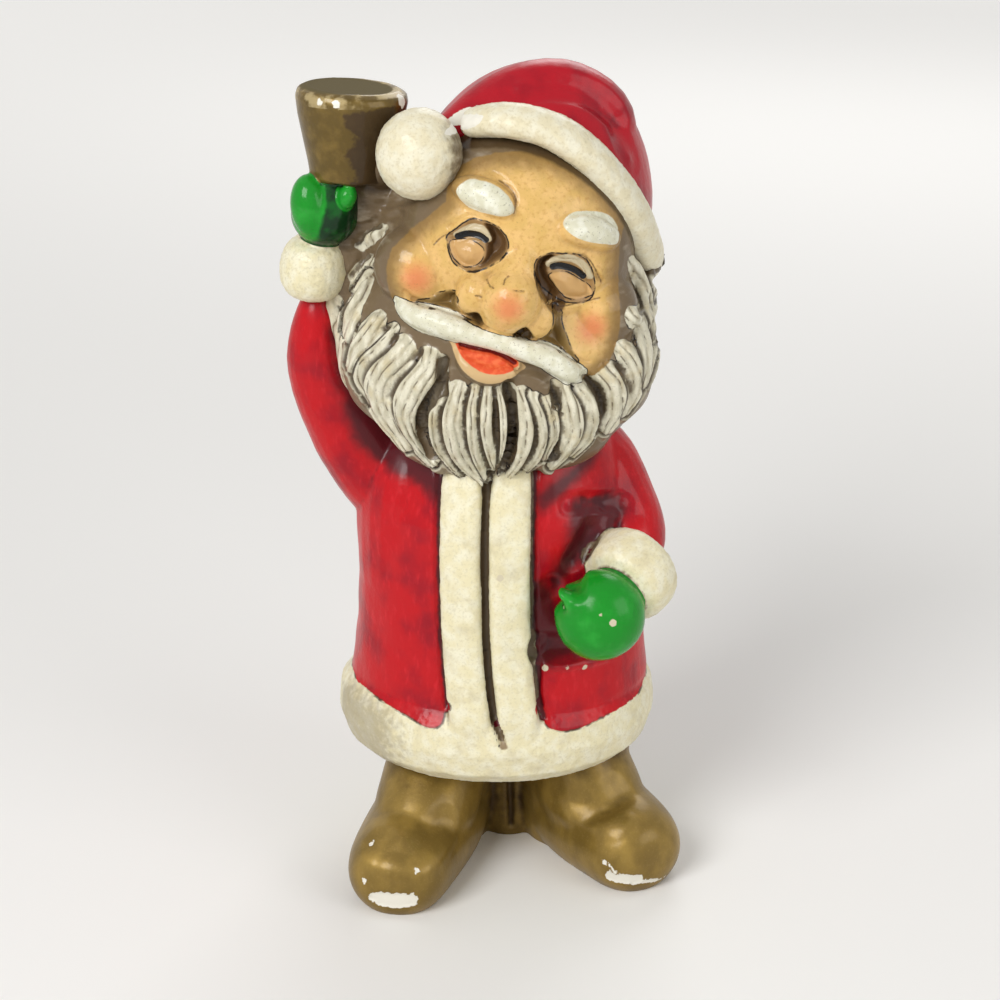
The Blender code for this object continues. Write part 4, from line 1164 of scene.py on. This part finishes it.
paint = Paint("face_and_beard_paint", BROWN_GLAZE, rough=0.36)
paint.brush(paint.patches(5.0, 5, 0.52, 0.78, 0.55, stretch=(1, 1, 2.2)), (0.40, 0.34, 0.25))
soak = paint.uneven("wash", 1.3, 5)
hair = paint.edge("lock", wobble=0.2, size=1.6, soft=0.14, start=-0.4)
from_line = paint.math("PINGPONG", paint.kept("strand"), 0.5)
from_border = paint.math("ABSOLUTE", paint.kept("border"), 0.0)
on_strand = paint.span(paint.kept("border"), 0.0, 0.3)
wash_line = paint.times(paint.span(from_line, 0.34, 0.02), paint.patches(3.2, 4, 0.38, 0.62, 0.5))
thin_line = paint.times(paint.span(from_line, 0.12, 0.03), paint.patches(2.8, 4, 0.44, 0.58, 0.75))
edging = paint.times(paint.span(from_border, 0.5, 0.12), paint.patches(2.6, 3, 0.28, 0.42, 0.92))
hair_colour = paint.layered(
    HAIR,
    (paint.patches(2.4, 5, 0.38, 0.62, stretch=(1.6, 1, 0.5)), HAIR_PALE),
    (paint.patches(3.8, 3, 0.5, 0.75, 0.75), HAIR_YELLOW),
    (paint.patches(0.45, 3, 0.60, 0.68, 0.2), (0.10, 0.07, 0.04)),
    (paint.times(wash_line, on_strand), (0.34, 0.27, 0.15)),
    (paint.times(thin_line, on_strand), (0.09, 0.065, 0.035)),
    (edging, (0.075, 0.052, 0.028)),
    (paint.span(paint.kept("border"), -0.25, -0.7, 0, 0.85), BROWN_GLAZE),
    (paint.span(soak, 0.55, 1.35, 0, 0.9), (0.10, 0.07, 0.038)),
)
paint.brush(hair, hair_colour, rough=0.42)
rim = paint.off_line("lock", 1.6, 3, 0.5, start=-0.45)
rim_line = paint.times(paint.span(rim, 0.20, 0.08), paint.patches(3.0, 3, 0.36, 0.54))
paint.brush(paint.times(rim_line, paint.span(from_border, 1.1, 0.5)), INK)

flesh = paint.layered(
    SKIN,
    (paint.patches(3.2, 4, 0.36, 0.68), (0.78, 0.50, 0.19)),
    (paint.patches(0.9, 4, 0.5, 0.72, 0.5), SKIN_DEEP),
    (paint.span(paint.uneven("rouge", 0.8, amount=0.25), 0.0, 0.9, 0, 0.72), BLUSH),
    (paint.span(paint.uneven("skin", 2.2, amount=2), 4.6, 0.4, 0, 0.86), SKIN_SHADE),
    (paint.patches(0.35, 2, 0.66, 0.72, 0.3), SKIN_SHADE),
    (paint.span(soak, 0.35, 1.3, 0, 0.85), SKIN_SHADE),
    # The broad hollows of the face are darkened brown: glaze and painted shade.
    (paint.span(paint.uneven("broad", 2.6, 5), 0.0, 1.0, 0, 0.72), (0.34, 0.19, 0.06)),
    # Sockets, their inner crescents, the folds beside the nose and the nostrils are painted brown to near
    # black: glaze and painted shade in these recesses.
    (paint.edge("socket", 0.2, 1.0, 0.35), (0.36, 0.215, 0.085)),
    (paint.edge("pouch", 0.2, 1.0, 0.35, start=0.1), (0.60, 0.36, 0.14)),
    (paint.times(paint.edge("fold", 0.15, 1.0, 0.35), 0.9), (0.22, 0.14, 0.045)),
    (paint.times(paint.edge("nostril", 0.15, 1.0, 0.3), 0.9), (0.12, 0.075, 0.03)),
    (paint.times(paint.edge("crescent", 0.15, 1.0, 0.3), 0.92), (0.11, 0.055, 0.02)),
    (paint.edge("crack", 0.05, 0.6, 0.05), (0.05, 0.03, 0.015)),
    (paint.times(paint.edge("crease", 0.12, 1.0, 0.14), 0.8), (0.07, 0.035, 0.012)),
)
paint.brush(paint.edge("skin", wobble=0.3, size=1.6, soft=0.2), flesh, rough=0.3)
paint.brush(paint.times(paint.edge("trim_gap", 0.3, 1.6, 0.5), 0.9), (0.07, 0.042, 0.018))


def outlined(name, half):
    """A thin broken ink line around an outline on the face."""
    line = paint.span(paint.off_line(name, 1.4, 4, 0.4), half, half * 0.4)
    paint.brush(paint.times(line, paint.patches(2.2, 3, 0.36, 0.5)), INK)


outlined("socket", 0.24)
outlined("pouch", 0.16)
outlined("fold", 0.2)
white = paint.layered((0.68, 0.66, 0.50), (paint.patches(1.8, 4, 0.4, 0.65), (0.80, 0.79, 0.66)),
                      (paint.patches(0.45, 3, 0.60, 0.68, 0.5), (0.22, 0.18, 0.11)),
                      (paint.span(soak, 0.5, 1.3, 0, 0.7), (0.22, 0.16, 0.08)))
paint.brush(paint.edge("lid", 0.12, 1.0, 0.12), (0.56, 0.47, 0.30))
paint.brush(paint.edge("brow", 0.12, 1.6, 0.12), white)
paint.brush(paint.edge("chin", 0.15, 1.4, 0.14), (0.60, 0.41, 0.20))
lip_colour = paint.mixed(paint.patches(1.4, 2, 0.4, 0.7), (0.72, 0.09, 0.03), (0.82, 0.17, 0.06))
paint.brush(paint.edge("lips", 0.1, 1.2, 0.12), lip_colour, rough=0.25)
paint.brush(paint.edge("lip_line", 0.15, 1.0, 0.14), (0.16, 0.008, 0.006))
paint.brush(paint.edge("whiskers", 0.16, 1.4, 0.14), white, rough=0.34)
outlined("whiskers", 0.13)
paint.brush(paint.edge("slit", 0.07, 1.2, 0.08), (0.008, 0.008, 0.009), rough=0.25)
furrow = paint.times(paint.span(from_line, 0.0, 0.3), paint.times(hair, on_strand))
bumps = [(paint.cloud(2.8, 3), 0.22), (paint.cloud(0.9, 5), 0.08), (paint.cloud(0.3, 3), 0.035),
         (furrow, 0.16)]
shown(head, "head", paint.finish(bumps, varnish=0.42, varnish_rough=0.1))


# Hat
# The soft red hat is cast with the head, with its tip folded over to a round pom.
# Its fur trim and pom are stippled all over and painted cream, with a dark line left below the trim.

hat_red = bmesh.new()
egg(hat_red, (5.5, 5, 150), (26.8, 27.5, 34), 14)
egg(hat_red, (0.5, 3, 142), (32.8, 27.8, 32.3))
tail = [(24, 4, 161), (21, 2, 171), (12, 0, 175.8), (2, -3, 175.6), (-7, -8, 173), (-13, -14, 171)]
roll(hat_red, tail, [7, 9, 9.4, 8, 6, 5], blunt=2.6)
ahead = [Vector((x * 0.5, y * 0.5, z - 149)).normalized() for x, y, z in RING]
trim = bmesh.new()
roll(trim, RING, [4.8] * 16, 0.72, ahead, blunt=8, detail=(24, 160))
POM = Vector((-16.3, -20, 169.5))
pom = bmesh.new()
egg(pom, POM, (8.8, 8.8, 9.24))
red_tree = tree_of(hat_red)
fur_tree = tree_of(trim, pom)
hat = without_pockets(blended(joined(hat_red, trim, pom), grain=0.5, rounds=3))
hat_tree = tree_of(hat)
press(hat, laid(hat_tree, [(4, 181), (11, 181.4), (18, 179.6), (23.4, 174.5), (27, 166)]), 4.4, 1.5, fade=7)
# Under the trim the hat's skin is drawn in, so that the head and beard cover it
rows = places(hat)
under = np.clip((-3.5 - above_ring(rows)) / 2, 0, 1)
under *= np.clip((line_reach(rows, ring_line) - 4.6) / 1.5, 0, 1)
under *= point_reach(rows, POM) > 10.5
rows = rows + (np.array(HEAD_AXIS + (150,)) - rows) * (0.16 * under)[:, None]
put(hat, rows)
rows = places(hat)
red_reach = distance_to(rows, red_tree)
fur_reach = distance_to(rows, fur_tree)
on_trim = 5.3 - np.minimum(line_reach(rows, ring_line), point_reach(rows, POM) - 4.6)
fur = np.minimum(red_reach - fur_reach, on_trim)
furry = np.clip(fur / 0.5, 0, 1)
nap = 0.13 * grain_of(rows, 1.0) + 0.08 * grain_of(rows, 0.5, 3)
rows += facings(hat) * (furry * nap + 0.15 * grain_of(rows, 7.0, 9))[:, None]
put(hat, rows)
note(hat, "fur", fur)
STUB = [(-11, 174.6), (-8.6, 176.4), (-6, 177.2), (-3.4, 177.3), (-4.6, 175.4), (-8, 174)]
stub = np.where((facings(hat)[:, 1] < 0.3) & (rows[:, 1] < 0), inside(rows, rounded(STUB)), FAR)
note(hat, "stub", stub)
# The pom's right side, beside the head, is painted darker: painted shade, added to the glaze pooled in the
# hollows.
pom_shade = np.clip((rows[:, 0] - POM.x - 2.5) / 5, 0, 1) * (point_reach(rows, POM) < 10)
note(hat, "wash", pooled(hat) + 0.9 * pom_shade)

paint = Paint("hat_paint", (0.42, 0.006, 0.016), rough=0.34)
paint.brush(paint.patches(8.0, 3, 0.42, 0.72), (0.28, 0.004, 0.014))
# The wash darkens the hollows with glaze and the pom's right side with painted shade.
soak = paint.uneven("wash", 2.0, 4)
paint.brush(paint.span(soak, 0.3, 1.1, 0, 0.85), (0.09, 0.006, 0.014))
fur_colour = stippled(paint, (0.74, 0.67, 0.47), (0.80, 0.76, 0.60), 0.6, 0.26, (0.46, 0.38, 0.22))
fur_colour = paint.layered(fur_colour, (paint.span(soak, 0.35, 1.15, 0, 0.95), (0.12, 0.08, 0.04)))
paint.brush(paint.edge("fur", wobble=0.25, size=1.4, soft=0.12), fur_colour, rough=0.44)
paint.brush(paint.edge("stub", wobble=0.3, size=1.0, soft=0.1), PLASTER, rough=0.7)
bumps = [(paint.cloud(1.0, 5), 0.09), (paint.cloud(0.3, 3), 0.04)]
shown(hat, "hat", paint.finish(bumps, varnish=0.36, varnish_rough=0.2))


# Raised hand
# The raised mitten holds a bronze bell by its neck, mouth upwards, above a thick fur cuff.
# It is cast with the rest; the bell is painted like the boots, and its rim is worn and chipped.

HAND = Vector((-36.5, -8.5, 155))
BELL = HAND + Vector((5, 0.5, 8))
BELL_LEAN = 4                                # degrees, its mouth to the viewer's right
BELL_DEPTH = 0.95                            # front to back, as a share of its width
BELL_TOP = BELL.z + 15                       # above this lie its rim and its mouth
BELL_RIM = 10.6                              # radius of the rim's middle
BELL_MOUTH = 9.6                             # radius of the mouth
cuff = bmesh.new()
fur_line = [RAISED_CUFF + Vector(step) for step in ((-0.3, 1, -7), (-0.1, 0, -0.8), (1, -1.4, 6))]
roll(cuff, fur_line, [6.42, 7.45, 6.42], blunt=3.6)
mitten = bmesh.new()
roll(mitten, [HAND + Vector((-2, 0.2, -7)), HAND, HAND + Vector((3, 0.3, 9))], [6.12, 7.14, 5.78], blunt=2.6)
LOBE = HAND + Vector((-2.6, -3.0, 1.6))
THUMB = HAND + Vector((5.0, -5.2, 4.2))
egg(mitten, LOBE, (4.4, 4.6, 6.9), -6)
egg(mitten, THUMB, (2.0, 2.2, 2.6), 20)
bell = bmesh.new()
BELL_PROFILE = [
    (0, 17.6), (8.6, 17.7), (9.8, 18), (11.6, 17.1), (12, 15.6), (11.4, 12), (10.0, 6.6), (8.8, 2),
    (8.2, -1), (0, -1.5),
]
turned(bell, [(radius * 0.97, height) for radius, height in BELL_PROFILE], depth=BELL_DEPTH)
stand = Matrix.LocRotScale(BELL, Euler((0, math.radians(BELL_LEAN), 0)), None)
bmesh.ops.transform(bell, matrix=stand, verts=bell.verts)
cuff_tree = tree_of(cuff)
mitten_tree = tree_of(mitten)
bell_tree = tree_of(bell)
hand = without_pockets(blended(joined(cuff, mitten, bell), grain=0.4, rounds=2))
rows = places(hand)
cuff_reach = distance_to(rows, cuff_tree)
mitten_reach = distance_to(rows, mitten_tree)
bell_reach = distance_to(rows, bell_tree)
fur = np.minimum(mitten_reach, bell_reach) - cuff_reach
nap = 0.12 * grain_of(rows, 1.0) + 0.08 * grain_of(rows, 0.5, 3)
rows += facings(hand) * (np.clip(fur / 0.5, 0, 1) * nap)[:, None]
put(hand, rows)
note(hand, "fur", fur)
note(hand, "mitten", np.minimum(cuff_reach, bell_reach) - mitten_reach)
note(hand, "wash", pooled(hand))
from_axis = np.hypot(rows[:, 0] - BELL.x, (rows[:, 1] - BELL.y) / BELL_DEPTH)
on_top = (rows[:, 2] > BELL_TOP) & (bell_reach < 0.6)
note(hand, "bell_rim", np.where(on_top, 1.0 - np.abs(from_axis - BELL_RIM), FAR))
note(hand, "bell_mouth", np.where(on_top, BELL_MOUTH - from_axis, FAR))
BELL_CHIPS = [((-36.4, -18, 179.6), 0.9), ((-32.8, -19, 179.4), 0.9), ((-20.6, -12, 178.6), 1.5)]
ragged = 0.4 * grain_of(rows, 0.8)
note(hand, "chip", deepest(half + ragged - point_reach(rows, spot) for spot, half in BELL_CHIPS))
# Only the mitten's lobe and thumb keep the lit green; the rest of the mitten is painted darker as painted
# shade.
lobe_out = np.linalg.norm((rows - np.array(LOBE)) / np.array((5.2, 5.4, 7.8)), axis=1)
thumb_out = np.linalg.norm((rows - np.array(THUMB)) / np.array((2.7, 3.0, 3.3)), axis=1)
note(hand, "bright", 1 - np.minimum(lobe_out, thumb_out))
# The bell's right side is painted darker in ragged blotches: painted shade.
rightward = np.clip((rows[:, 0] - BELL.x + 3.5) / 6.5, 0, 1)
note(hand, "shade", rightward * np.clip((BELL.z + 17 - rows[:, 2]) / 3, 0, 1))

paint = Paint("raised_hand_paint", (0.125, 0.08, 0.018), rough=0.36, metal=0.5)
paint.brush(paint.patches(3.0, 5, 0.4, 0.75), (0.21, 0.135, 0.032))
mouth = paint.edge("bell_mouth", 0.3, 2.0, 0.4)
paint.brush(mouth, (0.13, 0.105, 0.055), rough=0.85, metal=0.0)
worn = paint.times(paint.edge("bell_rim", 0.5, 1.4, 0.4), paint.patches(2.6, 4, 0.42, 0.6))
paint.brush(worn, (0.40, 0.31, 0.15), rough=0.5, metal=0.2)
# Painted shade brushed dark on the bell's right side.
shaded_blotch = paint.uneven("shade", 3.0, 5, 1.6)
paint.brush(paint.span(shaded_blotch, 0.5, 0.8, 0, 0.9), (0.05, 0.028, 0.012), metal=0.1)
soak = paint.uneven("wash", 1.8, 4)
paint.brush(paint.span(soak, 0.4, 1.2, 0, 0.85), (0.05, 0.03, 0.015), metal=0.1)
paint.brush(paint.edge("chip", 0.2, 0.7, 0.1), PLASTER, rough=0.8, metal=0.0)
fur_colour = stippled(paint, CREAM, CREAM_PALE, 0.55, 0.35)
fur_colour = paint.layered(fur_colour, (paint.span(soak, 0.35, 1.15, 0, 0.95), FUR_GLAZE))
paint.brush(paint.edge("fur", 0.25, 1.4, 0.1), fur_colour, rough=0.46, metal=0.0)
green = paint.layered(GREEN, (paint.patches(5.0, 3, 0.45, 0.75), GREEN_BRIGHT),
                      (paint.span(soak, 0.3, 1.0, 0, 0.95), (0.004, 0.05, 0.012)))
# A darker green for the mitten's shaded parts: painted shade.
shaded_green = paint.mixed(paint.patches(3.0, 4, 0.4, 0.7), (0.004, 0.03, 0.008), (0.004, 0.10, 0.012))
green = paint.mixed(paint.edge("bright", 0.06, 2.0, 0.05, start=0.06), shaded_green, green)
paint.brush(paint.edge("mitten", 0.2, 1.4, 0.12), green, rough=0.22, metal=0.0)
bumps = [(paint.cloud(0.9, 5), 0.07), (paint.cloud(0.3, 3), 0.03)]
varnish = paint.math("SUBTRACT", 0.4, paint.times(mouth, 0.4))
shown(hand, "raised_hand", paint.finish(bumps, varnish, varnish_rough=0.1))


# Stage
# A pale floor and backdrop under plain soft studio light, seen from the photograph's viewpoint.

BACKDROP = (0.88, 0.87, 0.85)
PALE_LIGHT = (1.0, 0.99, 0.97, 1)
AIR_LIGHT = 0.36                             # how brightly the air lights the figure
AIR_SEEN = 0.84                              # how bright the air itself looks
FLOOR_GLOW = 0.42                            # how much the far floor glows, to meet the air evenly
GLOW_FROM = 240                              # from this distance on
GLOW_FULL = 1500                             # and fully at this one
EYE = Vector((0, -430, 260))                 # where the camera stands on the drawing
LOOK_DOWN = 22.0                             # degrees
AIM = Vector((0, 0, 0.09))                   # where the lamps point, in metres
FIELD = 74.016                               # lens over a 36 mm sensor

floor_clay = bmesh.new()
bmesh.ops.create_grid(floor_clay, x_segments=1, y_segments=1, size=6)
bmesh.ops.recalc_face_normals(floor_clay, faces=floor_clay.faces)
floor_mesh = bpy.data.meshes.new("floor")
floor_clay.to_mesh(floor_mesh)
floor_clay.free()
floor = bpy.data.objects.new("floor", floor_mesh)
bpy.context.scene.collection.objects.link(floor)
floor_paint = Paint("pale_floor", BACKDROP, rough=0.6)
path = floor_paint.tree.nodes.new("ShaderNodeLightPath")
seen = floor_paint.math("MAXIMUM", path.outputs["Is Camera Ray"], path.outputs["Is Glossy Ray"])
away = floor_paint.node("ShaderNodeVectorMath", {0: floor_paint.spot}, operation="LENGTH").outputs["Value"]
glow = floor_paint.times(seen, floor_paint.span(away, GLOW_FROM, GLOW_FULL, 0, FLOOR_GLOW))
floor_paint.tree.links.new(glow, floor_paint.shader.inputs["Emission Strength"])
floor_paint.shader.inputs["Emission Color"].default_value = PALE_LIGHT
floor_mesh.materials.append(floor_paint.finish([], varnish=0.0, varnish_rough=0.3))

world = bpy.data.worlds.new("studio")
bpy.context.scene.world = world
world.use_nodes = True
air = world.node_tree
background = air.nodes["Background"]
ray = air.nodes.new("ShaderNodeLightPath")
seen = air.nodes.new("ShaderNodeMath")
seen.operation = "MAXIMUM"
air.links.new(ray.outputs["Is Camera Ray"], seen.inputs[0])
air.links.new(ray.outputs["Is Glossy Ray"], seen.inputs[1])
strength = air.nodes.new("ShaderNodeMapRange")
strength.inputs["To Min"].default_value = AIR_LIGHT
strength.inputs["To Max"].default_value = AIR_SEEN
air.links.new(seen.outputs[0], strength.inputs["Value"])
air.links.new(strength.outputs[0], background.inputs["Strength"])
background.inputs["Color"].default_value = PALE_LIGHT

# Three soft lamps: name, place in metres, size in metres and power in watts
LAMPS = (
    ("window", (-0.55, -0.75, 0.75), 0.55, 9),
    ("fill", (0.75, -0.55, 0.45), 0.6, 2.6),
    ("back", (0.2, 0.8, 0.7), 0.6, 3),
)
for name, spot, size, power in LAMPS:
    lamp = bpy.data.lights.new(name, "AREA")
    lamp.size = size
    lamp.energy = power
    light = bpy.data.objects.new(name, lamp)
    light.location = spot
    light.rotation_euler = (AIM - Vector(spot)).to_track_quat("-Z", "Y").to_euler()
    bpy.context.scene.collection.objects.link(light)

lens = bpy.data.cameras.new("camera")
lens.lens = FIELD
lens.clip_start = 0.01
camera = bpy.data.objects.new("camera", lens)
camera.location = (EYE + SHIFT) * MM
camera.rotation_euler = (math.radians(90 - LOOK_DOWN), 0, 0)
bpy.context.scene.collection.objects.link(camera)
bpy.context.scene.camera = camera
bpy.context.scene.view_settings.view_transform = "Standard"
